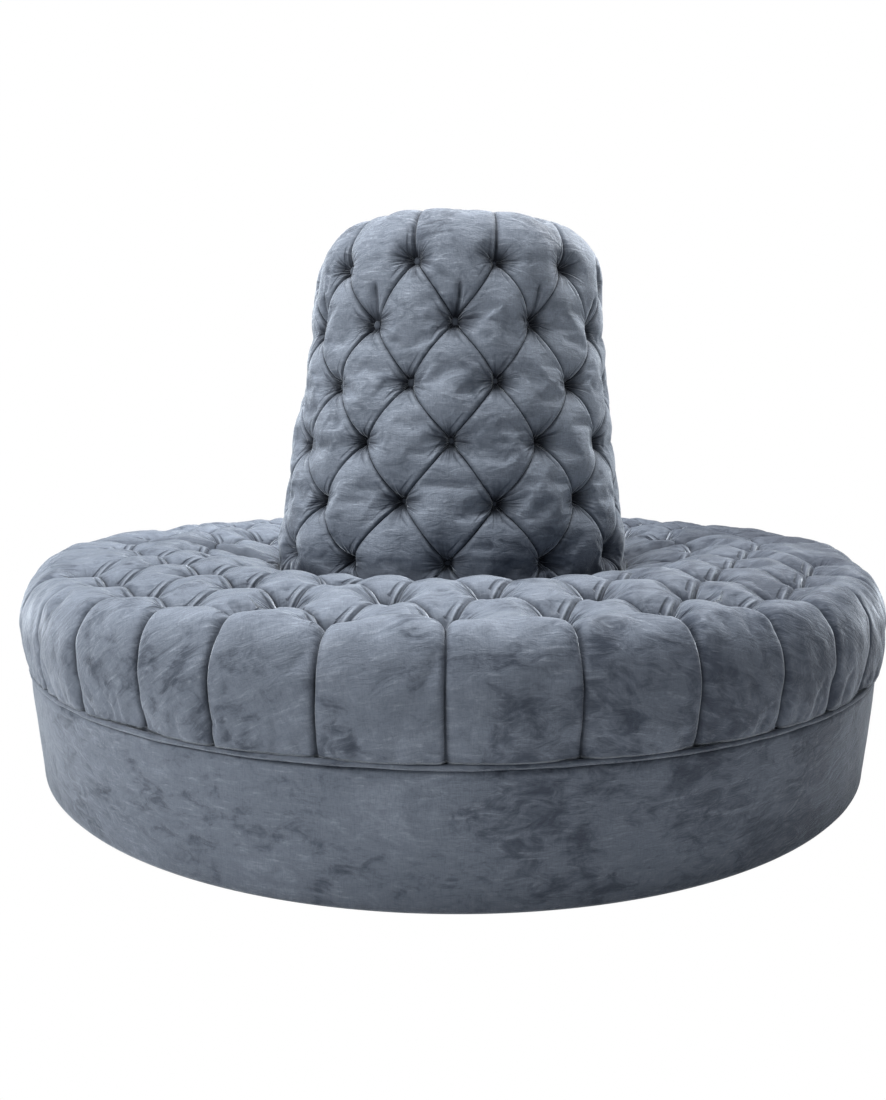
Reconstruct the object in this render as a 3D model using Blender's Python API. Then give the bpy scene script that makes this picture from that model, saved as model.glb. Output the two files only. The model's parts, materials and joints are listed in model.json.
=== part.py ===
"""A round lobby settee: two half-round tufted seats on upholstered plinths, with a tufted cone back between them.

Metres, +Z up. The origin is on the floor, under the centre. The seats meet on a straight
line along X, and the front seat lies towards -Y.
"""

import math

import bmesh
import bpy
import numpy as np
from mathutils import Vector
from mathutils.geometry import delaunay_2d_cdt

# Fits between pieces
CLEARANCE = 0.0003
HALVES_GAP = 0.004
OVERRUN = 0.02

# Seat cushion, outer shape; its heights are counted from the deck
SEAT_RADIUS = 0.950
CUSHION_HEIGHT = 0.2183
SEAT_CROWN = 0.010
SEAT_WIDEST_RISE = 0.0963
SEAT_ROLL_WIDTH = 0.093
SEAT_LOWER_EDGE_TUCK = 0.005
SEAT_LOWER_EDGE_RISE = 0.0125
SEAT_EDGE_ROLL = 0.040
SEAT_EDGE_DROP = 0.018
ROLL_POWER_SHARE = 1.9

# Seat cushion, tufts
TUFT_HALF_PITCH = 0.0827
TUFT_ROW_SPACING = 0.1185
TUFT_ROWS = 7
TUFT_COLUMNS = 9
TUFT_RIM_MARGIN = 0.018
TUFT_BUTTON_INSET = 0.095
TUFT_DEPTH = 0.052
TUFT_FOLD_SHARE = 0.55
TUFT_SIDE_FOLD_SHARE = 0.30
TUFT_CONE_MARGIN = 0.012

# Seat cushion, inside
SEAT_COVER_MINIMUM = 0.0313
FOAM_EDGE_INSET = 0.055
FOAM_END_INSET = 0.022

# Plinth
PLINTH_INSET = 0.011
PLINTH_TAPER = 0.014
DECK_TOP = 0.2237
BASE_COVER_THICKNESS = 0.006
SKIN_THICKNESS = 0.006
BOARD_THICKNESS = 0.018
BOTTOM_BOARD_WIDTH = 0.120
DUST_COVER_THICKNESS = 0.0012
DUST_COVER_INSET = 0.020
RIB_TURN_SHARES = (0.25, 0.5, 0.75)
HUB_RADIUS = 0.110

# Piping
PIPING_RADIUS = 0.0046
PIPING_INSET = 0.0006
PIPING_PLAY = 0.0008

# Glides
GLIDE_RADIUS = 0.019
GLIDE_HEIGHT = 0.006
GLIDE_EDGE = 0.0015
GLIDE_TURN_SHARES = (0.09, 0.36, 0.64, 0.91)

# Bolts that join the halves, and bolts that hold the cone down
BOLT_RADIUS = 0.004
BOLT_HEAD_RADIUS = 0.0075
BOLT_HEAD_HEIGHT = 0.0053
BOLT_HOLE_PLAY = 0.0006
BOLT_END = 0.006
NUT_RADIUS = 0.0085
NUT_HEIGHT = 0.0065
JOINING_BOLT_OFFSET = 0.520
JOINING_BOLT_HEIGHT = 0.115
HOLD_DOWN_INSET = 0.071
HOLD_DOWN_TURN_SHARE = 0.375

# Cone back, outer shape
CONE_SEAT_RADIUS = 0.4195
CONE_SHOULDER_RADIUS = 0.331
CONE_HEIGHT = 1.144
CONE_ROLL_HEIGHT = 0.114
CONE_ROLL_WIDTH = 0.085
CONE_FOOT_GAP = 0.006

# Cone back, tufts
CONE_BUTTONS = 12
CONE_ROWS = 6
CONE_TOP_ROW_RISE = 0.001
CONE_FOOT_ROW_DROP = 0.014
CONE_TOP_TUFT_DEPTH = 0.028
CONE_FOOT_TUFT_DEPTH = 0.042
CONE_TOP_FOLD_SHARE = 0.40
CONE_TURN_DEGREES = -6.5
CONE_CENTRE_DIP = 0.016
CONE_CENTRE_DIP_RADIUS = 0.075

# Cone back, inside
CONE_COVER_MINIMUM = 0.010
CONE_FOAM_THICKNESS = 0.022
CONE_SKIN_THICKNESS = 0.004
CONE_TOP_FOAM_THICKNESS = 0.045
CONE_TOP_FOAM_INSET = 0.030
CONE_TOP_PADDING = 0.036
CONE_POST_WIDTH = 0.045
CONE_POST_CIRCLE = 0.150
CONE_TOP_BUTTON_RADIUS = 0.019
CONE_TOP_BUTTON_HEIGHT = 0.010

# Fineness of the meshes
ARC_STEPS = 48
CONE_STEPS = 40
RING_SHARES = (0.0, 0.22, 0.42, 0.64, 1.0)
FOAM_STEPS = 18
NOTCH_STEPS = 16
PROFILE_SAMPLES = 160
SMALL_ROUND_SIDES = 20
PIPING_SIDES = 8

HALF_TURN = math.pi
HALF_GAP = HALVES_GAP / 2

# Radii and heights that follow from the seat and the deck
SEAT_HEIGHT = DECK_TOP + CUSHION_HEIGHT
SEAT_WIDEST_HEIGHT = DECK_TOP + SEAT_WIDEST_RISE
SEAT_LOWER_EDGE_RADIUS = SEAT_RADIUS - SEAT_LOWER_EDGE_TUCK
TUFT_REACH = SEAT_RADIUS - TUFT_RIM_MARGIN
TUFT_BUTTON_REACH = SEAT_RADIUS - TUFT_BUTTON_INSET
PLINTH_TOP_RADIUS = SEAT_RADIUS - PLINTH_INSET
PLINTH_FOOT_RADIUS = PLINTH_TOP_RADIUS - PLINTH_TAPER

# Heights of the cone's rows of buttons
CONE_SHOULDER_HEIGHT = CONE_HEIGHT - CONE_ROLL_HEIGHT
CONE_TOP_ROW_HEIGHT = CONE_SHOULDER_HEIGHT + CONE_TOP_ROW_RISE
CONE_FOOT_ROW_HEIGHT = SEAT_HEIGHT - CONE_FOOT_ROW_DROP
CONE_ROW_SPACING = (CONE_TOP_ROW_HEIGHT - CONE_FOOT_ROW_HEIGHT) / (CONE_ROWS - 1)

# Heights of the plinth's layers, from the floor up
DUST_COVER_FOOT = GLIDE_HEIGHT + CLEARANCE
BOTTOM_BOARD_FOOT = DUST_COVER_FOOT + DUST_COVER_THICKNESS + CLEARANCE
BOTTOM_BOARD_TOP = BOTTOM_BOARD_FOOT + BOARD_THICKNESS
DECK_FOOT = DECK_TOP - BOARD_THICKNESS
CUSHION_FOOT = DECK_TOP + CLEARANCE
PIPING_HEIGHT = DECK_TOP + CLEARANCE + PIPING_RADIUS
PIPING_TOP = PIPING_HEIGHT + PIPING_RADIUS
SEAT_LOWER_EDGE_HEIGHT = DECK_TOP + SEAT_LOWER_EDGE_RISE
PIPING_CENTRE = PLINTH_TOP_RADIUS - PIPING_INSET
CUSHION_FOOT_RADIUS = PIPING_CENTRE - PIPING_RADIUS - PIPING_PLAY
NOTCH_RADIUS = CONE_SEAT_RADIUS + CONE_FOOT_GAP
FOAM_TOP = SEAT_HEIGHT - SEAT_CROWN - TUFT_DEPTH - SEAT_COVER_MINIMUM

# Radii of the cone's inner layers at its foot
CONE_FOAM_FOOT_RADIUS = CONE_SEAT_RADIUS - CONE_FOOT_TUFT_DEPTH - CONE_COVER_MINIMUM
CONE_BOARD_INSET = CONE_FOAM_THICKNESS + CONE_SKIN_THICKNESS + 2 * CLEARANCE
HOLD_DOWN_CIRCLE = CONE_FOAM_FOOT_RADIUS - CONE_BOARD_INSET - HOLD_DOWN_INSET


def material(name, colour, roughness, metallic=0.0):
    """A Principled material."""
    made = bpy.data.materials.new(name)
    made.use_nodes = True
    shader = made.node_tree.nodes["Principled BSDF"]
    shader.inputs["Base Color"].default_value = (*colour, 1.0)
    shader.inputs["Roughness"].default_value = roughness
    shader.inputs["Metallic"].default_value = metallic
    return made


def make_object(name, mesh, finish, parent=None, smooth=True):
    """Puts a mesh in the scene under its node's name."""
    piece = bpy.data.objects.new(name, mesh)
    if not mesh.materials:
        mesh.materials.append(finish)
        if smooth:
            mesh.shade_smooth()
            mesh.set_sharp_from_angle(angle=math.radians(40))
    bpy.context.scene.collection.objects.link(piece)
    piece.parent = parent
    return piece


def mesh_from(name, points, faces):
    """A mesh from points and faces, with its faces turned outwards."""
    shape = bmesh.new()
    made = [shape.verts.new(point) for point in points]
    for face in faces:
        shape.faces.new([made[i] for i in face])
    bmesh.ops.recalc_face_normals(shape, faces=shape.faces)
    mesh = bpy.data.meshes.new(name)
    shape.to_mesh(mesh)
    shape.free()
    return mesh


def prism(name, outline, low, high):
    """A flat outline of (x, y) points raised from low to high."""
    count = len(outline)
    points = [(x, y, low) for x, y in outline] + [(x, y, high) for x, y in outline]
    faces = [list(range(count)), list(range(count, 2 * count))]
    for i in range(count):
        after = (i + 1) % count
        faces.append([i, after, count + after, count + i])
    return mesh_from(name, points, faces)


def half_arc(radius, edge=HALF_GAP, steps=ARC_STEPS):
    """Points on the front half circle from -X to +X, ending on the line y = -edge."""
    tip = math.asin(edge / radius)
    angles = [HALF_TURN + tip + (HALF_TURN - 2 * tip) * i / steps for i in range(steps + 1)]
    return [(radius * math.cos(angle), radius * math.sin(angle)) for angle in angles]


def half_ring(name, profile):
    """Sweeps a closed profile of (radius, height) points round the front half circle."""
    rows = [half_arc(radius) for radius, height in profile]
    count = len(profile)
    points = []
    for i in range(ARC_STEPS + 1):
        points.extend((*row[i], height) for row, (radius, height) in zip(rows, profile))
    faces = [list(range(count)), list(range(ARC_STEPS * count, (ARC_STEPS + 1) * count))]
    for i in range(ARC_STEPS):
        for j in range(count):
            after = (j + 1) % count
            low, high = i * count, (i + 1) * count
            faces.append([low + j, low + after, high + after, high + j])
    return mesh_from(name, points, faces)


def turned(name, profile, steps=SMALL_ROUND_SIDES):
    """Turns an open profile of (radius, height) points, which starts and ends on the axis."""
    middle = profile[1:-1]
    count = len(middle)
    points = [(0.0, 0.0, profile[0][1]), (0.0, 0.0, profile[-1][1])]
    for i in range(steps):
        angle = 2 * HALF_TURN * i / steps
        points.extend((radius * math.cos(angle), radius * math.sin(angle), height) for radius, height in middle)
    faces = []
    for i in range(steps):
        here, there = 2 + i * count, 2 + (i + 1) % steps * count
        faces.append([0, there, here])
        faces.append([1, here + count - 1, there + count - 1])
        for j in range(count - 1):
            faces.append([here + j, there + j, there + j + 1, here + j + 1])
    return mesh_from(name, points, faces)


def tube_wall(name, profile, steps=CONE_STEPS):
    """Turns a closed profile of (radius, height) points that stays off the axis."""
    count = len(profile)
    points = []
    for i in range(steps):
        angle = 2 * HALF_TURN * i / steps
        points.extend((radius * math.cos(angle), radius * math.sin(angle), height) for radius, height in profile)
    faces = []
    for i in range(steps):
        here, there = i * count, (i + 1) % steps * count
        for j in range(count):
            after = (j + 1) % count
            faces.append([here + j, there + j, there + after, here + after])
    return mesh_from(name, points, faces)


def cut_mesh(mesh, cutters):
    """Returns the mesh with the cutters' meshes taken away from it."""
    body = bpy.data.objects.new("cut_body", mesh)
    bpy.context.scene.collection.objects.link(body)
    helpers = []
    for cutter_mesh in cutters:
        helper = bpy.data.objects.new("cutter", cutter_mesh)
        bpy.context.scene.collection.objects.link(helper)
        cut = body.modifiers.new("cut", "BOOLEAN")
        cut.operation = "DIFFERENCE"
        cut.solver = "EXACT"
        cut.object = helper
        helpers.append(helper)
    evaluated = body.evaluated_get(bpy.context.evaluated_depsgraph_get())
    result = bpy.data.meshes.new_from_object(evaluated)
    result.name = mesh.name
    result.materials.clear()
    for helper in helpers + [body]:
        bpy.data.objects.remove(helper)
    return result


def moved(mesh, place):
    """Moves a mesh's points and returns it."""
    for point in mesh.vertices:
        point.co += Vector(place)
    return mesh


def skin_outside(height):
    """Radius of the bent skin's outer face."""
    share = (height - DUST_COVER_FOOT) / (DECK_TOP - DUST_COVER_FOOT)
    outer = PLINTH_FOOT_RADIUS + (PLINTH_TOP_RADIUS - PLINTH_FOOT_RADIUS) * share
    return outer - BASE_COVER_THICKNESS - CLEARANCE


def skin_inside(height):
    """Radius of the bent skin's inner face."""
    return skin_outside(height) - SKIN_THICKNESS


# The seat cushion's turned outline, from its flat top down to its lower edge


def seat_outline():
    """Distances along the outline with their radii and heights, sampled from its curves."""
    turn = np.linspace(0.0, HALF_TURN / 2, PROFILE_SAMPLES)
    power = 2 / ROLL_POWER_SHARE
    top = SEAT_HEIGHT - SEAT_CROWN
    inner = SEAT_RADIUS - SEAT_ROLL_WIDTH
    radii = inner + SEAT_ROLL_WIDTH * np.sin(turn) ** power
    heights = SEAT_WIDEST_HEIGHT + (top - SEAT_WIDEST_HEIGHT) * np.maximum(np.cos(turn), 0.0) ** power
    down = np.linspace(0.0, 1.0, PROFILE_SAMPLES)[1:]
    radii = np.append(radii, SEAT_RADIUS - (SEAT_RADIUS - SEAT_LOWER_EDGE_RADIUS) * down ** 2)
    fall = SEAT_WIDEST_HEIGHT - SEAT_LOWER_EDGE_HEIGHT
    heights = np.append(heights, SEAT_WIDEST_HEIGHT - fall * down)
    steps = np.hypot(np.diff(radii), np.diff(heights))
    distances = inner + np.append(0.0, np.cumsum(steps))
    return distances, radii, heights


OUTLINE = seat_outline()
OUTLINE_START = OUTLINE[0][0]
OUTLINE_END = OUTLINE[0][-1]


def outline_at(distance):
    """Radius, height and outward direction of the cushion's outline at a distance from the axis."""
    distances, radii, heights = OUTLINE
    if distance <= OUTLINE_START:
        rise = (1.0 - (distance / OUTLINE_START) ** 4) * SEAT_CROWN
        return distance, SEAT_HEIGHT - SEAT_CROWN + rise, (0.0, 1.0)
    radius = float(np.interp(distance, distances, radii))
    height = float(np.interp(distance, distances, heights))
    span = (OUTLINE_END - OUTLINE_START) / PROFILE_SAMPLES
    before, after = distance - span, distance + span
    along = np.interp(after, distances, radii) - np.interp(before, distances, radii)
    drop = np.interp(before, distances, heights) - np.interp(after, distances, heights)
    size = math.hypot(along, drop)
    return radius, height, (float(drop) / size, float(along) / size)


# The tufts of the seat, on the flat plan of its cover


def tuft_exists(column, row):
    """Whether the cover has a button at this place of the diamond lattice."""
    if not 1 <= row <= TUFT_ROWS or abs(column) > TUFT_COLUMNS:
        return False
    distance = math.hypot(column * TUFT_HALF_PITCH, row * TUFT_ROW_SPACING)
    return NOTCH_RADIUS + TUFT_CONE_MARGIN < distance < TUFT_REACH


def tuft_place(column, row):
    """A lattice place on the plan, drawn in where it would fall over the cushion's edge."""
    place = np.array([column * TUFT_HALF_PITCH, -row * TUFT_ROW_SPACING])
    distance = float(np.hypot(*place))
    if distance > TUFT_BUTTON_REACH:
        place = place * (TUFT_BUTTON_REACH / distance)
    return place


def seat_tufts():
    """Buttons, and the folds between them as (start, end, share at start, middle and end)."""
    buttons, folds, rims = [], [], []
    for row in range(1, TUFT_ROWS + 1):
        for column in range(-TUFT_COLUMNS, TUFT_COLUMNS + 1):
            if (column + row) % 2 or not tuft_exists(column, row):
                continue
            place = tuft_place(column, row)
            buttons.append(place)
            if row == 1:
                folds.append((place, np.array([place[0], 0.0]), 1.0, TUFT_FOLD_SHARE, TUFT_FOLD_SHARE))
            outward = False
            for side in (-1, 1):
                for step in (-1, 1):
                    near = (column + side, row + step)
                    if near[1] == 0:
                        continue
                    if tuft_exists(*near):
                        if step == 1:
                            folds.append((place, tuft_place(*near), 1.0, TUFT_FOLD_SHARE, 1.0))
                    elif near[1] > row or abs(near[0]) > abs(column):
                        outward = True
                    else:
                        inner = np.array([near[0] * TUFT_HALF_PITCH, -near[1] * TUFT_ROW_SPACING])
                        folds.append((place, inner, 1.0, TUFT_FOLD_SHARE, 1.0))
            if outward:
                end = place * (OUTLINE_END / float(np.hypot(*place)))
                folds.append((place, end, 1.0, TUFT_SIDE_FOLD_SHARE, TUFT_SIDE_FOLD_SHARE))
                rims.append(math.atan2(place[1], place[0]) % (2 * HALF_TURN))
    return buttons, folds, sorted(rims)


BUTTONS, FOLDS, RIM_FOLDS = seat_tufts()
PUFF_REACH = TUFT_HALF_PITCH * TUFT_ROW_SPACING / math.hypot(TUFT_HALF_PITCH, TUFT_ROW_SPACING)


def seat_sink(point):
    """How far the cover is drawn in below its outline at a point of the plan."""
    deepest = 0.0
    for start, end, first, middle, last in FOLDS:
        along = end - start
        share = float(np.clip(np.dot(point - start, along) / np.dot(along, along), 0.0, 1.0))
        away = float(np.hypot(*(point - start - share * along)))
        if away < PUFF_REACH:
            bend = math.sin(HALF_TURN * share) ** 0.7 if last == 1.0 else 1.0 - (1.0 - min(1.0, 3 * share)) ** 2
            depth = first + (last - first) * share if last == 1.0 else first
            depth = depth + (middle - depth) * bend
            deepest = max(deepest, depth * (1.0 - away / PUFF_REACH) ** 2)
    sink = TUFT_DEPTH * deepest
    for room in (abs(point[1]) - HALF_GAP, float(np.hypot(*point)) - NOTCH_RADIUS):
        if 0.0 <= room < SEAT_EDGE_ROLL:
            sink = max(sink, SEAT_EDGE_DROP * (1.0 - room / SEAT_EDGE_ROLL) ** 2)
    return sink


def cover_point(point):
    """The place in space of a point of the cover's plan."""
    distance = float(np.hypot(*point))
    radius, height, (out, up) = outline_at(distance)
    sink = seat_sink(point)
    radius -= out * sink
    return point[0] / distance * radius, point[1] / distance * radius, height - up * sink


def split_point(distance, side):
    """The plan's point on the straight edge that lands in the plane between the halves."""
    tip = math.asin(HALF_GAP / outline_at(distance)[0])
    return np.array([side * math.cos(tip), -math.sin(tip)]) * distance


def rim_angles():
    """Angles of the cover's columns near its rim: on each radial fold, and two between folds."""
    closest = PUFF_REACH / SEAT_RADIUS / 4
    tip = math.asin(HALF_GAP / SEAT_RADIUS)
    angles = [HALF_TURN + tip]
    for after in (*RIM_FOLDS, 2 * HALF_TURN - tip):
        before = angles[-1]
        if after - before < closest:
            continue
        third = (after - before) / 3
        angles += [angle for angle in (before + third, after - third) if third > closest]
        angles.append(after)
    return angles


def plan_points():
    """The boundary loop and the inner points of the cover's flat plan."""
    rings = [OUTLINE_START + (OUTLINE_END - OUTLINE_START) * share for share in RING_SHARES]
    arc = rim_angles()[1:-1]
    rim = [np.array([math.cos(angle), math.sin(angle)]) * OUTLINE_END for angle in arc]
    flat = np.linspace(NOTCH_RADIUS, OUTLINE_START, 11)
    straight = [*flat, *rings[1:]]
    left = [split_point(distance, -1) for distance in straight]
    right = [split_point(distance, 1) for distance in reversed(straight)]
    notch = [np.array(point) for point in half_arc(NOTCH_RADIUS, steps=NOTCH_STEPS)][1:-1]
    loop = left + rim + right + notch[::-1]
    inner = [np.array(place) for place in BUTTONS]
    for ring in rings[:-1]:
        inner.extend(np.array([math.cos(angle), math.sin(angle)]) * ring for angle in arc)
    quarter_x, quarter_y = TUFT_HALF_PITCH / 4, TUFT_ROW_SPACING / 4
    for i in range(-4 * TUFT_COLUMNS - 4, 4 * TUFT_COLUMNS + 5):
        for j in range(1, 4 * TUFT_ROWS + 4):
            middle = i % 2 and j % 2
            corner = i % 4 == 0 and j % 4 == 0
            crossing = i % 4 == 2 and j % 4 == 2
            if middle or corner or crossing:
                inner.append(np.array([i * quarter_x, -j * quarter_y]))
    return loop, inner


def seat_plan():
    """Points and triangles of the cover's plan, the boundary loop first."""
    loop, inner = plan_points()
    spacing = TUFT_HALF_PITCH / 6
    kept = []
    for point in inner:
        distance = float(np.hypot(*point))
        if distance < NOTCH_RADIUS + spacing or distance > OUTLINE_END - spacing or -point[1] < HALF_GAP + spacing:
            continue
        if distance > OUTLINE_START + spacing / 2 or all(np.hypot(*(point - other)) > spacing for other in kept):
            kept.append(point)
    edges = [(i, (i + 1) % len(loop)) for i in range(len(loop))]
    points = [Vector(point) for point in loop + kept]
    flat, _, triangles, origins, _, _ = delaunay_2d_cdt(points, edges, [], 1, 1e-7)
    order = {origin[0]: i for i, origin in enumerate(origins) if origin}
    return [np.array(point) for point in flat], triangles, [order[i] for i in range(len(loop))], loop


def seat_cover_shell():
    """The tufted cushion's outside: its cover, rim, flat walls and underside, as one closed mesh."""
    flat, triangles, border, loop = seat_plan()
    points = [cover_point(point) for point in flat]
    straight_count = sum(1 for point in loop if point[0] < 0 and abs(point[1]) < SEAT_EDGE_DROP / 2)
    arc_count = len(rim_angles())
    left = border[:straight_count]
    rim = border[straight_count - 1:straight_count - 1 + arc_count]
    right = border[straight_count + arc_count - 2:2 * straight_count + arc_count - 2]
    notch = border[2 * straight_count + arc_count - 3:] + border[:1]
    for i in left + right:
        points[i] = (points[i][0], -HALF_GAP, points[i][2])
    faces = [list(triangle) for triangle in triangles]
    rows = [rim]
    radius = CUSHION_FOOT_RADIUS
    for height in (PIPING_TOP + PIPING_PLAY, CUSHION_FOOT):
        row = []
        for position, i in enumerate(rim):
            x, y, _ = points[i]
            size = math.hypot(x, y)
            end = position in (0, len(rim) - 1)
            place_y = -HALF_GAP if end else y / size * radius
            place_x = math.copysign(math.sqrt(radius ** 2 - HALF_GAP ** 2), x) if end else x / size * radius
            points.append((place_x, place_y, height))
            row.append(len(points) - 1)
        rows.append(row)
    for above, below in zip(rows, rows[1:]):
        for i in range(len(above) - 1):
            faces.append([above[i], above[i + 1], below[i + 1], below[i]])
    notch_foot = []
    for i in notch:
        x, y, _ = points[i]
        points.append((x, y, CUSHION_FOOT))
        notch_foot.append(len(points) - 1)
    for i in range(len(notch) - 1):
        faces.append([notch[i], notch[i + 1], notch_foot[i + 1], notch_foot[i]])
    faces.append(left + [row[0] for row in rows[1:]] + [notch_foot[-1]])
    faces.append(right + [notch_foot[0]] + [row[-1] for row in rows[:0:-1]])
    faces.append(rows[-1] + notch_foot)
    return mesh_from("seat_cover_shell", points, faces)


def foam_outline(spare=0.0):
    """Plan of the seat's foam block, let out by a spare width."""
    edge = HALF_GAP + FOAM_END_INSET - spare
    outer = half_arc(SEAT_RADIUS - FOAM_EDGE_INSET + spare, edge, FOAM_STEPS)
    inner = half_arc(NOTCH_RADIUS + FOAM_END_INSET - spare, edge, FOAM_STEPS)
    return outer + inner[::-1]


def seat_cover():
    """The tufted cushion cover with its padding, hollow where the foam block sits."""
    recess = prism("foam_recess", foam_outline(CLEARANCE), CUSHION_FOOT - OVERRUN, FOAM_TOP + CLEARANCE)
    return cut_mesh(seat_cover_shell(), [recess])


def seat_foam():
    """The foam block inside the cushion."""
    return prism("seat_foam", foam_outline(), CUSHION_FOOT, FOAM_TOP)


def hold_down_places():
    """Where the cone's bolts pass through the front half's deck."""
    angle = HALF_TURN * HOLD_DOWN_TURN_SHARE
    along, out = HOLD_DOWN_CIRCLE * math.cos(angle), HOLD_DOWN_CIRCLE * math.sin(angle)
    return [(side * along, -out) for side in (-1, 1)]


def bolt_hole(place, low, high):
    """A cutter for an upright bolt's hole."""
    radius = BOLT_RADIUS + BOLT_HOLE_PLAY
    return moved(turned("bolt_hole", [(0, low), (radius, low), (radius, high), (0, high)]), (*place, 0.0))


def seat_deck():
    """The half-round board that carries the cushion and the cone."""
    radius = min(skin_outside(DECK_FOOT), skin_outside(DECK_TOP))
    board = prism("seat_deck", half_arc(radius), DECK_FOOT, DECK_TOP)
    holes = [bolt_hole(place, DECK_FOOT - OVERRUN, DECK_TOP + OVERRUN) for place in hold_down_places()]
    return cut_mesh(board, holes)


def base_skin():
    """The thin board bent round the plinth, under the deck's edge."""
    low, high = BOTTOM_BOARD_FOOT, DECK_FOOT - CLEARANCE
    profile = [(skin_inside(low), low), (skin_outside(low), low), (skin_outside(high), high), (skin_inside(high), high)]
    return half_ring("base_skin", profile)


def base_cover():
    """The plain velvet band over the skin, with its wadding."""
    low, high = DUST_COVER_FOOT, DECK_TOP
    wall = BASE_COVER_THICKNESS
    profile = [(PLINTH_FOOT_RADIUS - wall, low), (PLINTH_FOOT_RADIUS, low)]
    profile += [(PLINTH_TOP_RADIUS, high), (PLINTH_TOP_RADIUS - wall, high)]
    return half_ring("base_cover", profile)


def piping():
    """The covered cord between the plinth and the cushion."""
    turns = [2 * HALF_TURN * i / PIPING_SIDES for i in range(PIPING_SIDES)]
    return half_ring("piping", [(PIPING_CENTRE + PIPING_RADIUS * math.cos(turn),
                                 PIPING_HEIGHT + PIPING_RADIUS * math.sin(turn)) for turn in turns])


def end_panel():
    """The straight board that closes a half at the line where the halves meet."""
    low, high = BOTTOM_BOARD_TOP + CLEARANCE, DECK_FOOT - CLEARANCE
    near, far = -HALF_GAP, -HALF_GAP - BOARD_THICKNESS
    points = []
    for height in (low, high):
        reach = math.sqrt(skin_inside(height) ** 2 - far ** 2) - 2 * CLEARANCE
        points += [(-reach, near, height), (reach, near, height), (reach, far, height), (-reach, far, height)]
    faces = [[0, 1, 2, 3], [4, 5, 6, 7], [0, 1, 5, 4], [1, 2, 6, 5], [2, 3, 7, 6], [3, 0, 4, 7]]
    panel = mesh_from("end_panel", points, faces)
    radius = BOLT_RADIUS + BOLT_HOLE_PLAY
    drills = []
    for side in (-1, 1):
        drill = turned("drill", [(0, -OVERRUN), (radius, -OVERRUN), (radius, OVERRUN), (0, OVERRUN)])
        for point in drill.vertices:
            point.co = Vector((point.co.x, point.co.z * 2, -point.co.y))
        drills.append(moved(drill, (side * JOINING_BOLT_OFFSET, (near + far) / 2, JOINING_BOLT_HEIGHT)))
    return cut_mesh(panel, drills)


def bottom_board():
    """The half ring of board at the plinth's foot."""
    radius = min(skin_inside(BOTTOM_BOARD_FOOT), skin_inside(BOTTOM_BOARD_TOP))
    outer = half_arc(radius - CLEARANCE)
    inner = half_arc(skin_inside(BOTTOM_BOARD_FOOT) - BOTTOM_BOARD_WIDTH, HALF_GAP)
    return prism("bottom_board", outer + inner[::-1], BOTTOM_BOARD_FOOT, BOTTOM_BOARD_TOP)


def rib(share):
    """A board on edge that carries the deck from the end panel out to the skin."""
    low, high = BOTTOM_BOARD_TOP + CLEARANCE, DECK_FOOT - CLEARANCE
    angle = HALF_TURN + HALF_TURN * share
    out = Vector((math.cos(angle), math.sin(angle), 0.0))
    across = Vector((-out.y, out.x, 0.0)) * (BOARD_THICKNESS / 2)
    points = []
    for height in (low, high):
        reach = math.sqrt(skin_inside(height) ** 2 - (BOARD_THICKNESS / 2) ** 2) - 2 * CLEARANCE
        for radius, side in ((HUB_RADIUS, -1), (reach, -1), (reach, 1), (HUB_RADIUS, 1)):
            point = out * radius + across * side
            points.append((point.x, point.y, height))
    faces = [[0, 1, 2, 3], [4, 5, 6, 7], [0, 1, 5, 4], [1, 2, 6, 5], [2, 3, 7, 6], [3, 0, 4, 7]]
    return mesh_from("rib", points, faces)


def hub_block():
    """The half-round timber block that stands behind the end panel under the cone."""
    low, high = BOTTOM_BOARD_TOP + CLEARANCE, DECK_FOOT - CLEARANCE
    edge = HALF_GAP + BOARD_THICKNESS + CLEARANCE
    return prism("hub_block", half_arc(HUB_RADIUS - CLEARANCE, edge, SMALL_ROUND_SIDES), low, high)


def dust_cover():
    """The thin black cloth stapled under the plinth."""
    radius = skin_inside(BOTTOM_BOARD_FOOT) - DUST_COVER_INSET
    return prism("dust_cover", half_arc(radius), DUST_COVER_FOOT, DUST_COVER_FOOT + DUST_COVER_THICKNESS)


def glide():
    """A nylon disc under the plinth, standing on the floor."""
    rim, top, edge = GLIDE_RADIUS, GLIDE_HEIGHT, GLIDE_EDGE
    return turned("glide", [(0, 0), (rim - edge, 0), (rim, edge), (rim, top), (0, top)])


def bolt(length):
    """A round-headed bolt: its head below zero, its shank up to the length."""
    head, shank = BOLT_HEAD_RADIUS, BOLT_RADIUS
    low = -BOLT_HEAD_HEIGHT
    profile = [(0, low), (head * 0.8, low), (head, low * 0.6), (head, 0), (shank, 0), (shank, length), (0, length)]
    return turned("bolt", profile)


def nut(name):
    """A round nut with a bore that runs free on the bolt."""
    bore = BOLT_RADIUS + BOLT_HOLE_PLAY / 2
    profile = [(bore, 0), (NUT_RADIUS, 0), (NUT_RADIUS, NUT_HEIGHT), (bore, NUT_HEIGHT)]
    return tube_wall(name, profile, SMALL_ROUND_SIDES)


# The cone back


def cone_outside(height):
    """Radius of the cone's puffs below its rolled top."""
    if height <= SEAT_HEIGHT:
        return CONE_SEAT_RADIUS
    share = (height - SEAT_HEIGHT) / (CONE_SHOULDER_HEIGHT - SEAT_HEIGHT)
    return CONE_SEAT_RADIUS + (CONE_SHOULDER_RADIUS - CONE_SEAT_RADIUS) * share


def cone_tuft_depth(height):
    """Depth of the cone's buttons below its puffs."""
    share = (height - CONE_FOOT_ROW_HEIGHT) / (CONE_TOP_ROW_HEIGHT - CONE_FOOT_ROW_HEIGHT)
    share = min(1.0, max(0.0, share))
    return CONE_FOOT_TUFT_DEPTH + (CONE_TOP_TUFT_DEPTH - CONE_FOOT_TUFT_DEPTH) * share


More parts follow.
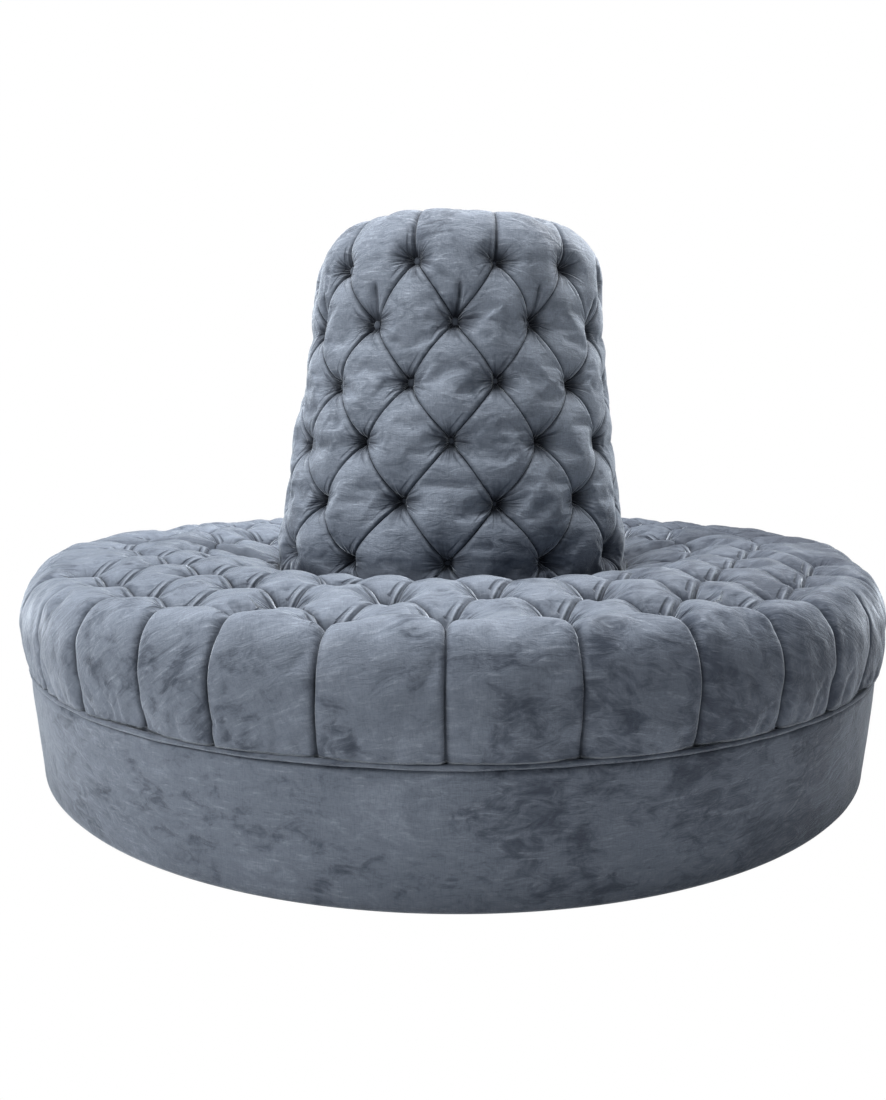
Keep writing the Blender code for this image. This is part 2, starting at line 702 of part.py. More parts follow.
def cone_foam_outside(height):
    """Radius of the foam wrapped round the cone's frame."""
    if height <= CONE_FOOT_ROW_HEIGHT:
        return CONE_FOAM_FOOT_RADIUS
    share = (height - CONE_FOOT_ROW_HEIGHT) / (CONE_TOP_ROW_HEIGHT - CONE_FOOT_ROW_HEIGHT)
    high = cone_outside(CONE_TOP_ROW_HEIGHT) - CONE_TOP_TUFT_DEPTH - CONE_COVER_MINIMUM
    return CONE_FOAM_FOOT_RADIUS + (high - CONE_FOAM_FOOT_RADIUS) * share


def cone_sink_share(turn, row):
    """Share of the tuft depth at a place: turn in half pitches, row counted down from the top row."""
    place = min(max(row, 1.0), float(CONE_ROWS))
    first = abs(math.sin(HALF_TURN * (turn + place) / 2))
    second = abs(math.sin(HALF_TURN * (turn - place) / 2))
    crest = math.sqrt(first * second)
    raised = TUFT_FOLD_SHARE * max(first, second) ** 0.8 + (1.0 - TUFT_FOLD_SHARE) * crest ** 0.9
    return 1.0 - raised


def cone_stations():
    """Rows of the cone's cover from its foot to near its top: (radius, height, out, up, row, fade)."""
    stations = []
    heights = [CUSHION_FOOT, (CUSHION_FOOT + CONE_FOOT_ROW_HEIGHT) / 2]
    heights += [CONE_FOOT_ROW_HEIGHT + i * CONE_ROW_SPACING / 2 for i in range(2 * CONE_ROWS - 1)]
    for height in heights:
        row = 1.0 + (CONE_TOP_ROW_HEIGHT - height) / CONE_ROW_SPACING
        fade = 0.5 if height < CONE_FOOT_ROW_HEIGHT else 1.0
        stations.append((cone_outside(height), height, 1.0, 0.0, row, fade))
    power = 2 / ROLL_POWER_SHARE
    rise = CONE_HEIGHT - CONE_SHOULDER_HEIGHT
    for share in (0.3, 0.5, 0.7, 0.85, 1.0):
        angle = HALF_TURN / 2 * share
        radius = CONE_SHOULDER_RADIUS - CONE_ROLL_WIDTH + CONE_ROLL_WIDTH * math.cos(angle) ** power
        height = CONE_SHOULDER_HEIGHT + rise * math.sin(angle) ** power
        fade = 1.0 + (CONE_TOP_FOLD_SHARE - 1.0) * share ** 0.5
        stations.append((radius, height, math.cos(angle), math.sin(angle), 1.0, fade))
    flat = CONE_SHOULDER_RADIUS - CONE_ROLL_WIDTH
    for share in (0.66, 0.33):
        dip = CONE_CENTRE_DIP * math.exp(-((flat * share) / CONE_CENTRE_DIP_RADIUS) ** 2)
        stations.append((flat * share, CONE_HEIGHT - dip, 0.0, 1.0, 1.0, CONE_TOP_FOLD_SHARE * share))
    return stations


def cone_cover_shell():
    """The tufted cone cover's outside, closed underneath."""
    columns = 4 * CONE_BUTTONS
    start = math.radians(CONE_TURN_DEGREES) - HALF_TURN / 2
    stations = cone_stations()
    points = []
    for radius, height, out, up, row, fade in stations:
        depth = cone_tuft_depth(height) * fade
        for column in range(columns):
            sink = depth * cone_sink_share(column / 2, row)
            angle = start + 2 * HALF_TURN * column / columns
            reach = radius - out * sink
            points.append((reach * math.cos(angle), reach * math.sin(angle), height - up * sink))
    points.append((0.0, 0.0, CONE_HEIGHT - CONE_CENTRE_DIP))
    faces = [list(range(columns))]
    for level in range(len(stations) - 1):
        for column in range(columns):
            after = (column + 1) % columns
            low, high = level * columns, (level + 1) * columns
            if (level + column) % 2:
                faces.append([low + column, low + after, high + column])
                faces.append([low + after, high + after, high + column])
            else:
                faces.append([low + column, low + after, high + after])
                faces.append([low + column, high + after, high + column])
    top = (len(stations) - 1) * columns
    for column in range(columns):
        faces.append([top + column, top + (column + 1) % columns, len(points) - 1])
    return mesh_from("cone_cover_shell", points, faces)


CONE_BOARD_TOP = CONE_HEIGHT - CONE_TOP_PADDING - CONE_TOP_FOAM_THICKNESS - CLEARANCE
CONE_FOAM_TOP = CONE_BOARD_TOP + CLEARANCE + CONE_TOP_FOAM_THICKNESS


def cone_profile(inset, low, high):
    """Points down the cone's inner layers: (radius, height) at the foot, the bottom row and the top."""
    return [(cone_foam_outside(height) - inset, height) for height in (low, CONE_FOOT_ROW_HEIGHT, high)]


def cone_top_foam_radius():
    """Radius of the foam disc on the cone's top board."""
    return cone_foam_outside(CONE_BOARD_TOP) - CONE_TOP_FOAM_INSET


def cone_cover():
    """The tufted cone cover with its padding, hollow over the foam."""
    low = CUSHION_FOOT - OVERRUN
    sides = cone_profile(-CLEARANCE, low, CONE_BOARD_TOP + CLEARANCE)
    reach, top = cone_top_foam_radius() + CLEARANCE, CONE_FOAM_TOP + CLEARANCE
    recess = turned("cone_recess", [(0, low), *sides, (reach, sides[-1][1]), (reach, top), (0, top)], CONE_STEPS)
    return cut_mesh(cone_cover_shell(), [recess])


def cone_layer(name, inset, thickness):
    """One wrapped layer of the cone, as a wall of the given thickness."""
    outer = cone_profile(inset, CUSHION_FOOT, CONE_BOARD_TOP)
    inner = cone_profile(inset + thickness, CUSHION_FOOT, CONE_BOARD_TOP)
    return tube_wall(name, outer + inner[::-1])


def cone_board(name, low, high, holes=()):
    """A round board that fills the cone's skin at one height."""
    reach = min(cone_foam_outside(low), cone_foam_outside(high)) - CONE_BOARD_INSET
    board = turned(name, [(0, low), (reach, low), (reach, high), (0, high)], CONE_STEPS)
    if not holes:
        return board
    return cut_mesh(board, [bolt_hole(place, low - OVERRUN, high + OVERRUN) for place in holes])


def cone_post():
    """A square timber between the cone's boards."""
    low = CUSHION_FOOT + BOARD_THICKNESS + CLEARANCE
    high = CONE_BOARD_TOP - BOARD_THICKNESS - CLEARANCE
    half = CONE_POST_WIDTH / 2
    return prism("cone_post", [(-half, -half), (half, -half), (half, half), (-half, half)], low, high)


def cone_top_foam():
    """The foam disc on the cone's top board."""
    reach = cone_top_foam_radius()
    low, high = CONE_BOARD_TOP + CLEARANCE, CONE_FOAM_TOP
    return turned("cone_top_foam", [(0, low), (reach, low), (reach, high), (0, high)], CONE_STEPS)


def cone_top_button():
    """The covered button in the middle of the cone's top."""
    rim, rise = CONE_TOP_BUTTON_RADIUS, CONE_TOP_BUTTON_HEIGHT
    profile = [(0, 0), (rim * 0.9, rise * 0.45), (rim, rise * 0.6)]
    profile += [(rim * 0.8, rise * 0.85), (rim * 0.45, rise), (0, rise)]
    return turned("cone_top_button", profile)


def clear_scene():
    """Empties the scene."""
    for item in list(bpy.data.objects):
        bpy.data.objects.remove(item)


def finishes():
    """The part's materials, by what they are."""
    return {
        "velvet": material("velvet", (0.165, 0.195, 0.240), 0.85),
        "foam": material("foam", (0.82, 0.78, 0.62), 0.95),
        "plywood": material("plywood", (0.62, 0.45, 0.27), 0.70),
        "timber": material("timber", (0.70, 0.52, 0.32), 0.75),
        "lining": material("lining", (0.02, 0.02, 0.022), 0.95),
        "nylon": material("nylon", (0.05, 0.05, 0.055), 0.45),
        "steel": material("steel", (0.60, 0.60, 0.62), 0.35, 1.0),
    }


def empty(name, turn_degrees=0.0):
    """An empty that carries one section of the settee."""
    made = bpy.data.objects.new(name, None)
    made.rotation_euler = (0.0, 0.0, math.radians(turn_degrees))
    bpy.context.scene.collection.objects.link(made)
    return made


def build_half_meshes():
    """The meshes that both halves share, with their finishes."""
    meshes = [
        ("seat_cover", seat_cover(), "velvet"),
        ("seat_foam", seat_foam(), "foam"),
        ("seat_deck", seat_deck(), "plywood"),
        ("base_skin", base_skin(), "plywood"),
        ("base_cover", base_cover(), "velvet"),
        ("piping", piping(), "velvet"),
        ("end_panel", end_panel(), "plywood"),
        ("bottom_board", bottom_board(), "plywood"),
        ("hub_block", hub_block(), "timber"),
        ("dust_cover", dust_cover(), "lining"),
    ]
    for name, share in zip(("rib_left", "rib_middle", "rib_right"), RIB_TURN_SHARES):
        meshes.append((name, rib(share), "plywood"))
    return meshes


def build_halves(looks):
    """The two half-round seats."""
    meshes = build_half_meshes()
    foot = glide()
    circle = skin_inside(BOTTOM_BOARD_FOOT) - BOTTOM_BOARD_WIDTH / 2
    for half, turn in (("front", 0.0), ("back", 180.0)):
        section = empty(half + "_half", turn)
        for name, mesh, look in meshes:
            make_object(half + "_" + name, mesh, looks[look], section)
        for number, share in enumerate(GLIDE_TURN_SHARES, 1):
            angle = HALF_TURN + HALF_TURN * share
            disc = make_object(f"{half}_glide_{number}", foot, looks["nylon"], section)
            disc.location = (circle * math.cos(angle), circle * math.sin(angle), 0.0)


def build_joining_bolts(looks):
    """The bolts and nuts that hold the halves together through their end panels."""
    seat = HALF_GAP + BOARD_THICKNESS + CLEARANCE
    shank = bolt(2 * seat + NUT_HEIGHT + BOLT_END)
    for number, side in enumerate((-1, 1), 1):
        screw = make_object(f"joining_bolt_{number}", shank, looks["steel"])
        screw.location = (side * JOINING_BOLT_OFFSET, -seat, JOINING_BOLT_HEIGHT)
        screw.rotation_euler = (-HALF_TURN / 2, 0.0, 0.0)
    ring = nut("joining_nut")
    for number, side in enumerate((-1, 1), 1):
        piece = make_object(f"joining_nut_{number}", ring, looks["steel"])
        piece.location = (side * JOINING_BOLT_OFFSET, seat, JOINING_BOLT_HEIGHT)
        piece.rotation_euler = (-HALF_TURN / 2, 0.0, 0.0)


def build_cone(looks):
    """The cone back, its frame and the bolts that hold it down."""
    holes = [place for x, y in hold_down_places() for place in ((x, y), (x, -y))]
    board_top = CUSHION_FOOT + BOARD_THICKNESS
    make_object("cone_base_board", cone_board("cone_base_board", CUSHION_FOOT, board_top, holes), looks["plywood"])
    top_board = cone_board("cone_top_board", CONE_BOARD_TOP - BOARD_THICKNESS, CONE_BOARD_TOP)
    make_object("cone_top_board", top_board, looks["plywood"])
    skin = cone_layer("cone_skin", CONE_FOAM_THICKNESS + CLEARANCE, CONE_SKIN_THICKNESS)
    make_object("cone_skin", skin, looks["plywood"])
    make_object("cone_foam", cone_layer("cone_foam", 0.0, CONE_FOAM_THICKNESS), looks["foam"])
    make_object("cone_top_foam", cone_top_foam(), looks["foam"])
    make_object("cone_cover", cone_cover(), looks["velvet"])
    crown = make_object("cone_top_button", cone_top_button(), looks["velvet"])
    crown.location = (0.0, 0.0, CONE_HEIGHT - CONE_CENTRE_DIP + CLEARANCE)
    timber = cone_post()
    for number in range(4):
        angle = HALF_TURN / 2 * number
        post = make_object(f"cone_post_{number + 1}", timber, looks["timber"], smooth=False)
        post.location = (CONE_POST_CIRCLE * math.cos(angle), CONE_POST_CIRCLE * math.sin(angle), 0.0)
    shank = bolt(2 * BOARD_THICKNESS + 3 * CLEARANCE + NUT_HEIGHT + BOLT_END)
    ring = nut("cone_nut")
    for number, (x, y) in enumerate(holes, 1):
        screw = make_object(f"cone_bolt_{number}", shank, looks["steel"])
        screw.location = (x, y, DECK_FOOT - CLEARANCE)
        piece = make_object(f"cone_nut_{number}", ring, looks["steel"])
        piece.location = (x, y, board_top + CLEARANCE)


def main():
    """Builds the settee."""
    clear_scene()
    looks = finishes()
    build_halves(looks)
    build_joining_bolts(looks)
    build_cone(looks)


main()
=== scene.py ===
"""The round tufted lobby settee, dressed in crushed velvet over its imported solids.

Metres, +Z up, in the solids' own frame: the front half lies towards -Y.
"""

import json
import math

import bmesh
import bpy
import numpy as np
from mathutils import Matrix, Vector
from mathutils.geometry import delaunay_2d_cdt
from mathutils.kdtree import KDTree


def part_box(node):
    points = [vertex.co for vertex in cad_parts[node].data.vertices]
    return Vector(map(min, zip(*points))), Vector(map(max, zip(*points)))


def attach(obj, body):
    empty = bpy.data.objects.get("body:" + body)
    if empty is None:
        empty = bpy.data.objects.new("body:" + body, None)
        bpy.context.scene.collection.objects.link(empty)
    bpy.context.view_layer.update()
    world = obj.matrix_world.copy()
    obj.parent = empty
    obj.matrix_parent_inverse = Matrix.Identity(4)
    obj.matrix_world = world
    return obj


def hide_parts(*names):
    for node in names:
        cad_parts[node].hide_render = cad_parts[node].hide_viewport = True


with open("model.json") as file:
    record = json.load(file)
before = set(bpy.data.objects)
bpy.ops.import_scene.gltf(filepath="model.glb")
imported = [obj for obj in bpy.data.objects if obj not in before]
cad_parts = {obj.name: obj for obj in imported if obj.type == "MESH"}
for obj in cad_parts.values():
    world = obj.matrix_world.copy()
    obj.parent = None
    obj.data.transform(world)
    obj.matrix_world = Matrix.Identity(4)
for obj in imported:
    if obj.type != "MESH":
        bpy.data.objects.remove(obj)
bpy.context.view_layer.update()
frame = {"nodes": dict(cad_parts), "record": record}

HALF_TURN = math.pi
TURN = 2 * HALF_TURN
TINY = 1e-6
FAR = 9.0

# Seat cover: sizes of the solid that it replaces
HALF_GAP = 0.0001
SEAT_RADIUS = 0.950
SEAT_HEIGHT = 0.442
SEAT_CROWN = 0.010
SEAT_WIDEST_HEIGHT = 0.320
SEAT_ROLL_WIDTH = 0.093
LOWER_EDGE_RADIUS = 0.945
LOWER_EDGE_HEIGHT = 0.2362
CUSHION_FOOT = 0.2240
CUSHION_FOOT_RADIUS = 0.933
CUSHION_STEP_HEIGHT = 0.2340
NOTCH_RADIUS = 0.4255
ROLL_POWER = 2.15
FOAM_TOP = 0.3487
FOAM_RADIUS = 0.895
FOAM_INNER_RADIUS = 0.4475
FOAM_END = 0.024
PLAY = 0.001

# Seat tufts
HALF_PITCH = 0.0827
ROW_SPACING = 0.1185
TUFT_ROWS = 7
TUFT_COLUMNS = 9
TUFT_REACH = 0.932
TUFT_BUTTON_REACH = 0.855
NOTCH_MARGIN = 0.012
SEAT_TUFT_DEPTH = 0.058
FOLD_LEVEL = 0.89
REACH = HALF_PITCH * ROW_SPACING / math.hypot(HALF_PITCH, ROW_SPACING)

# Seat rim, where the tufts turn into radial folds, and the notch behind each last button
RIM_START = 0.80
RIM_END = 0.93
RIM_SHALLOW_END = 0.86
RIM_TUFT_SHARE = 0.80
RIM_FOLD_REACH = 0.026
RIM_FOLD_SHARE = 0.45
RIM_NOTCH_DEPTH = 0.030
RIM_NOTCH_PLACE = 0.038
RIM_NOTCH_LENGTH = 0.036
RIM_NOTCH_WIDTH = 0.020
CORNER_FULLNESS = 0.010
CORNER_DISTANCE = 0.918
CORNER_WIDTH = 0.032
CORNER_FOLD_WIDTH = 0.030

# How the seats have settled, and how they fall to the cone and to the split line
FRONT_SETTLE = 0.016
BACK_SETTLE = 0.004
SETTLE_DISTANCE = 0.85
SETTLE_WIDTH = 0.08
VALLEY_DEPTH = 0.066
VALLEY_WIDTH = 0.24
CALM_WIDTH = 0.095
SPLIT_DEPTH = 0.026
SPLIT_WIDTH = 0.046

# Folds, pits and lips of both covers
PILLOW_POWER = 2.8
PILLOW_ROOT = 0.72
PIT_POWER = 1.25
EYE_WIDTH = 0.012
SEAT_EYE_DEPTH = 0.010
CONE_EYE_DEPTH = 0.009
SEAT_PIT_WIDTH = 0.0235
CONE_PIT_WIDTH = 0.026
CREASE_POWER = 1.4
CREASE_WIDTH = 0.0045
CREASE_START = 0.004
CREASE_FULL = 0.016
DIAGONAL_CREASE = 0.0036
RADIAL_CREASE = 0.0045
SEAT_PLEAT = 0.0080
CONE_CREASE = 0.0040
CONE_PLEAT = 0.0040
PLEAT_START = 0.012
PLEAT_REACH = 0.043
SEAT_LIP = 0.0030
CONE_LIP = 0.0028
LIP_START = 0.0035
LIP_WIDTH = 0.011

# Uneven cloth: height and size of its lumps, and how far and how quickly it drifts sideways
SEAT_LUMPS = ((0.0035, 0.14), (0.0012, 0.035))
CONE_LUMPS = ((0.0030, 0.13), (0.0010, 0.035))
PLINTH_LUMPS = ((0.0012, 0.22), (0.0005, 0.05))
SEAT_DRIFT = 0.0035
SEAT_DRIFT_SIZE = 0.16
CONE_DRIFT = (0.0050, 0.0040)
CONE_DRIFT_SIZE = 0.13
PIPING_DRIFT = ((0.0007, 0.09), (0.0006, 0.06), (0.06, 0.03))

# What the velvet is told: how near a fold and a button are, each tuft's label, and the cone's cloth
FOLD_ZONE = 0.03
BUTTON_ZONE = 0.075
LABEL_STEP = 0.37
CONE_CLOTH_RADIUS = 0.37
CONE_CLOTH_LABEL = 5.3

# Painted shade, at the split line, the back half's edge, the notch and the cone's foot
SPLIT_SHADE = 0.85
SPLIT_SHADE_WIDTH = 0.013
BACK_SHADE = 0.60
BACK_SHADE_WIDTH = 0.045
BASE_SHADE_WIDTH = 0.0045
NOTCH_SHADE = 0.75
NOTCH_SHADE_WIDTH = 0.024
CONE_FOOT_SHADE = 0.80

# Cone cover: sizes of the solid that it replaces
CONE_SEAT_RADIUS = 0.4195
CONE_SHOULDER_RADIUS = 0.331
CONE_SHOULDER_HEIGHT = 1.030
CONE_HEIGHT = 1.144
CONE_ROLL_WIDTH = 0.085
CONE_ROLL_POWER = 1.9
CONE_TOP_ROW = 1.031
CONE_FOOT_ROW = 0.428
CONE_ROWS = 6
CONE_SPACING = (CONE_TOP_ROW - CONE_FOOT_ROW) / (CONE_ROWS - 1)
CONE_HALF_PITCHES = 24
CONE_TURN = math.radians(-6.5)
CONE_TOP_DEPTH = 0.030
CONE_FOOT_DEPTH = 0.041
CONE_DIP = 0.016
CONE_DIP_RADIUS = 0.075
CONE_EYE_RADIUS = 0.012
CONE_LEAN = 0.018
CONE_FOLD_LEVEL = 0.80
CONE_CLOSED_HEIGHT = 0.384
CONE_OPEN_HEIGHT = 0.420
FAN_SLANT = 0.10
FAN_SPREAD = 0.028
FAN_CREASES = ((0.0045, 0.0055), (0.0030, 0.0060))
CONE_FULLNESS = 0.006
CONE_FULL_HEIGHT = 1.04
CONE_FULL_WIDTH = 0.09
FOOT_CLEARANCE = 0.0002
FOOT_FLARE = 0.02
FOAM_FOOT_RADIUS = 0.3675
FOAM_FOOT_HEIGHT = 0.424
FOAM_HEAD_RADIUS = 0.2891
FOAM_HEAD_HEIGHT = 1.0627

# Swelling: cloth that is a little too large, blown up while its folds and buttons are held
CLOTH = {
    "quality": 4, "mass": 0.4, "tension_stiffness": 18, "compression_stiffness": 14, "shear_stiffness": 8,
    "bending_stiffness": 0.6, "use_pressure": True, "uniform_pressure_force": 4, "vertex_group_mass": "held",
}
SWELL_FRAMES = 20
SWELL_CAP = 0.006
SWELL_ROOM = 0.0035
SEAT_SPARE_SHARE = 0.020
CONE_SPARE_SHARE = 0.028
HELD_FOLD = 0.0015
HELD_BUTTON = 0.010
FOLD_HOLD = 0.3

# Covered buttons
BUTTON_RADIUS = 0.0085
BUTTON_HEIGHT = 0.0045
SEAT_BUTTON_RISE = 0.0015
CONE_BUTTON_SINK = 0.0005
CROWN_RADIUS = 0.019
CROWN_HEIGHT = 0.007
CROWN_RISE = 0.004
DOME_SHARES = ((0.80, -0.35), (1.0, 0.05), (0.97, 0.35), (0.80, 0.70), (0.50, 0.92), (0.22, 1.0))
DOME_SIDES = 16

# Plinth and piping
PLINTH_FOOT_RADIUS = 0.925
PLINTH_TOP_RADIUS = 0.939
PLINTH_FOOT = 0.0063
PLINTH_TOP = 0.2237
PLINTH_WALL = 0.006
PLINTH_EDGE = 0.0045
PLINTH_TUCK = 0.0045
PLINTH_TUCK_WIDTH = 0.007
PLINTH_BULGE = 0.0012
PLINTH_MIDDLE = 0.93
PLINTH_SOFT_EDGE = 0.03
PIPING_MIDDLE = 0.94
PIPING_RADIUS = 0.0046
PIPING_CENTRE = 0.9384
PIPING_HEIGHT = 0.2286
PIPING_SIDES = 14
PIPING_CLOTH_STEP = 0.002
END_SHARES = (0.0005, 0.0011, 0.0019)

# Fineness
SEAT_STEPS = 12
RIM_SPACING = 0.0085
CONE_STEPS = 10
OUTLINE_SAMPLES = 600
ROLL_SAMPLES = 400
SLOPE_SPAN = 0.004
FOAM_STEPS = 36
PLINTH_STATIONS = 320
PIPING_STATIONS = 520

# Random seeds: front half, back half, cone
SEAT_SEEDS = (11, 47)
CONE_SEED = 23
BASE_SEEDS = (61, 83)


def waves(points, size, seed, count=28):
    """A smooth random field over 2-D or 3-D points, about -1 to 1, with lumps of the given size."""
    random = np.random.default_rng(seed)
    points = np.asarray(points, float)
    ways = random.normal(size=(count, points.shape[1]))
    ways /= np.linalg.norm(ways, axis=1)[:, None]
    ways *= random.uniform(0.6, 1.6, size=(count, 1)) * HALF_TURN / size
    phases = random.uniform(0, TURN, count)
    return np.cos(points @ ways.T + phases).sum(axis=1) / math.sqrt(count / 2) / 1.6


def lumps(points, seed, sizes):
    """Waves of several heights and sizes, added up."""
    return sum(height * waves(points, size, seed + i) for i, (height, size) in enumerate(sizes))


def ease(value, low, high):
    """Goes smoothly from 0 at low to 1 at high."""
    share = np.clip((value - low) / (high - low), 0.0, 1.0)
    return share * share * (3.0 - 2.0 * share)


def bell(distance, width, power=2.0):
    """Falls from 1 at no distance to 0 well past the width."""
    return np.exp(-(distance / width) ** power)


def fade(distance, width):
    """Falls straight from 1 at no distance to 0 at the width."""
    return np.clip(1.0 - distance / width, 0.0, 1.0)


def swell(share):
    """A pillow's height from its edge (0) to its middle (1)."""
    return (1.0 - (1.0 - np.clip(share, 0.0, 1.0)) ** PILLOW_POWER) ** PILLOW_ROOT


def pleat_near(button):
    """How strong a pleat is at a distance from its button."""
    return bell(np.maximum(button - PLEAT_START, 0.0), PLEAT_REACH)


def creased(depth, crease, width, button):
    """Depth of the sharp crease at a distance from its fold, fading out on the buttons."""
    return depth * bell(crease, width, CREASE_POWER) * ease(button, CREASE_START, CREASE_FULL)


def lip_near(crease):
    """How far the cloth leans towards a fold at a distance from it."""
    return ease(crease, 0.0, LIP_START) * bell(crease, LIP_WIDTH)


def tufted(depth, level, pit_width, pillow, button):
    """Depth of a tufted cover below its outline: pits at the buttons, shallower folds and full pillows."""
    return depth * (1.0 - level * (1.0 - bell(button, pit_width, PIT_POWER)) - (1.0 - level) * pillow)


def told(crease, button, **more):
    """What the velvet is told: how near a fold and a button are, and further values."""
    near_fold, near_button = np.maximum(0.0, FOLD_ZONE - crease), np.maximum(0.0, BUTTON_ZONE - button)
    return {"fold": near_fold, "button": near_button, **more}


def flat_size(points):
    """Distance of points from the upright axis."""
    return np.hypot(points[..., 0], points[..., 1])


def around(radius, angle, height):
    """Points at radii, angles and heights."""
    return np.stack([np.cos(angle) * radius, np.sin(angle) * radius, height], 1)


def spoke(angle):
    """The flat direction at an angle."""
    return np.array([math.cos(angle), math.sin(angle)])


def half_way(tip, share):
    """The angle at a share of the way round the front half, whose ends lie a tip's angle in."""
    return HALF_TURN + tip + (HALF_TURN - 2 * tip) * share


def to_lines(points, lines):
    """Distance to the nearest of some straight lines, and the way to it."""
    best = np.full(len(points), FAR)
    way = np.zeros((len(points), 2))
    for start, end in lines:
        along = end - start
        part = np.clip((points - start) @ along / (along @ along), 0.0, 1.0)
        gap = start + part[:, None] * along - points
        away = flat_size(gap)
        nearer = away < best
        best[nearer] = away[nearer]
        way[nearer] = gap[nearer]
    return best, way / np.maximum(best, TINY)[:, None]


def nearest_of(points, asked):
    """Number of the nearest of some flat points to each point that is asked for."""
    tree = KDTree(len(points))
    for i, (x, y) in enumerate(points):
        tree.insert((x, y, 0.0), i)
    tree.balance()
    return np.array([tree.find((x, y, 0.0))[1] for x, y in asked])


# Outlines that the covers follow


def with_lengths(radii, heights, start=0.0):
    """An outline: distance along it, radius and height of its samples."""
    return start + np.append(0.0, np.cumsum(np.hypot(np.diff(radii), np.diff(heights)))), radii, heights


def follow(outline, distance):
    """Radius, height and the direction across the outline, at a distance along it."""
    places, radii, heights = outline
    here, before, after = (np.array([np.interp(distance + step, places, line) for line in (radii, heights)])
                           for step in (0.0, -SLOPE_SPAN, SLOPE_SPAN))
    along, rise = (after - before) / np.maximum(np.hypot(*(after - before)), TINY)
    return (*here, -rise, along)


def seat_outline():
    """The cushion's outline, from the end of its flat top down to its lower edge."""
    turn = np.linspace(0.0, HALF_TURN / 2, OUTLINE_SAMPLES)
    down = np.linspace(0.0, 1.0, OUTLINE_SAMPLES)[1:]
    power = 2 / ROLL_POWER
    inner = SEAT_RADIUS - SEAT_ROLL_WIDTH
    rise = SEAT_HEIGHT - SEAT_CROWN - SEAT_WIDEST_HEIGHT
    radii = np.append(inner + SEAT_ROLL_WIDTH * np.sin(turn) ** power,
                      SEAT_RADIUS - (SEAT_RADIUS - LOWER_EDGE_RADIUS) * down ** 2)
    heights = np.append(SEAT_WIDEST_HEIGHT + rise * np.maximum(np.cos(turn), 0.0) ** power,
                        SEAT_WIDEST_HEIGHT - (SEAT_WIDEST_HEIGHT - LOWER_EDGE_HEIGHT) * down)
    return with_lengths(radii, heights, inner)


OUTLINE = seat_outline()
START = OUTLINE[0][0]
END = OUTLINE[0][-1]


def outline_at(distance):
    """Radius, height and outward direction of the cushion's outline."""
    crown = SEAT_HEIGHT - SEAT_CROWN * np.clip(distance / START, 0.0, 1.0) ** 4
    curved = follow(OUTLINE, distance)
    return [np.where(distance <= START, *pair) for pair in zip((distance, crown, 0.0, 1.0), curved)]


# The seat's lattice of buttons and folds, on the flat plan of its cover


def on_plan(column, row):
    """A lattice place on the plan."""
    return np.array([column * HALF_PITCH, -row * ROW_SPACING])


def tuft_exists(column, row):
    """Whether the cover has a button at this place of the lattice."""
    if not 1 <= row <= TUFT_ROWS or abs(column) > TUFT_COLUMNS:
        return False
    return NOTCH_RADIUS + NOTCH_MARGIN < flat_size(on_plan(column, row)) < TUFT_REACH


def tuft_place(column, row):
    """A button's place on the plan, drawn in where it would fall over the edge."""
    place = on_plan(column, row)
    return place * min(1.0, TUFT_BUTTON_REACH / flat_size(place))


def seat_lattice():
    """The seat's buttons and its four families of folds: two diagonal, radial, and to the straight edge."""
    buttons, rising, falling, radial, straight = [], [], [], [], []
    for row in range(1, TUFT_ROWS + 1):
        for column in range(-TUFT_COLUMNS, TUFT_COLUMNS + 1):
            if (column + row) % 2 or not tuft_exists(column, row):
                continue
            place = tuft_place(column, row)
            buttons.append(place)
            if row == 1:
                straight.append((place, np.array([place[0], 0.0])))
            outward = False
            for side, step in ((-1, -1), (-1, 1), (1, -1), (1, 1)):
                near = (column + side, row + step)
                family = rising if side == step else falling
                if near[1] == 0:
                    continue
                if tuft_exists(*near):
                    if step == 1:
                        family.append((place, tuft_place(*near)))
                elif flat_size(on_plan(*near)) > SEAT_RADIUS / 2:
                    outward = True
                else:
                    family.append((place, on_plan(*near)))
            if outward:
                radial.append((place, place * (END / flat_size(place))))
    return np.array(buttons), (rising, falling, radial, straight)


BUTTONS, FOLDS = seat_lattice()
RADIAL_FAMILY = 2


def rim_angles():
    """Angles of the plan's points on its rim: on each radial fold and evenly between them."""
    tip = math.asin(HALF_GAP / SEAT_RADIUS)
    folds = sorted(math.atan2(end[1], end[0]) % TURN for _, end in FOLDS[RADIAL_FAMILY])
    angles = [HALF_TURN + tip]
    for after in (*folds, TURN - tip):
        before = angles[-1]
        count = max(2, round((after - before) * SEAT_RADIUS / RIM_SPACING))
        angles += [before + (after - before) * i / count for i in range(1, count + 1)]
    return angles


def inner_points(angles, rings):
    """Points wanted inside the plan, the most needed first, each with the room it needs."""
    line_room, lattice_room = 0.3 * RIM_SPACING, 0.62 * RIM_SPACING
    wanted = [(spoke(angle) * ring, line_room) for angle in angles[1:-1] for ring in rings[:-1]]
    flat_end = START - RIM_SPACING / 2
    _, _, radial, straight = FOLDS
    for start, end in (*radial, *straight):
        length = flat_size(end - start)
        for i in range(round(length / RIM_SPACING)):
            point = start + (end - start) * (i * RIM_SPACING / length)
            if flat_size(point) < flat_end:
                wanted.append((point, line_room))
    lattice = []
    wide = SEAT_STEPS * (TUFT_COLUMNS + 2)
    for i in range(-wide, wide + 1):
        for j in range(1, SEAT_STEPS * (TUFT_ROWS + 1)):
            point = on_plan(i, j) / SEAT_STEPS
            if (i + j) % 2 == 0 and flat_size(point) <= flat_end:
                lattice.append((point, lattice_room))
    return wanted + sorted(lattice, key=lambda entry: flat_size(entry[0]))


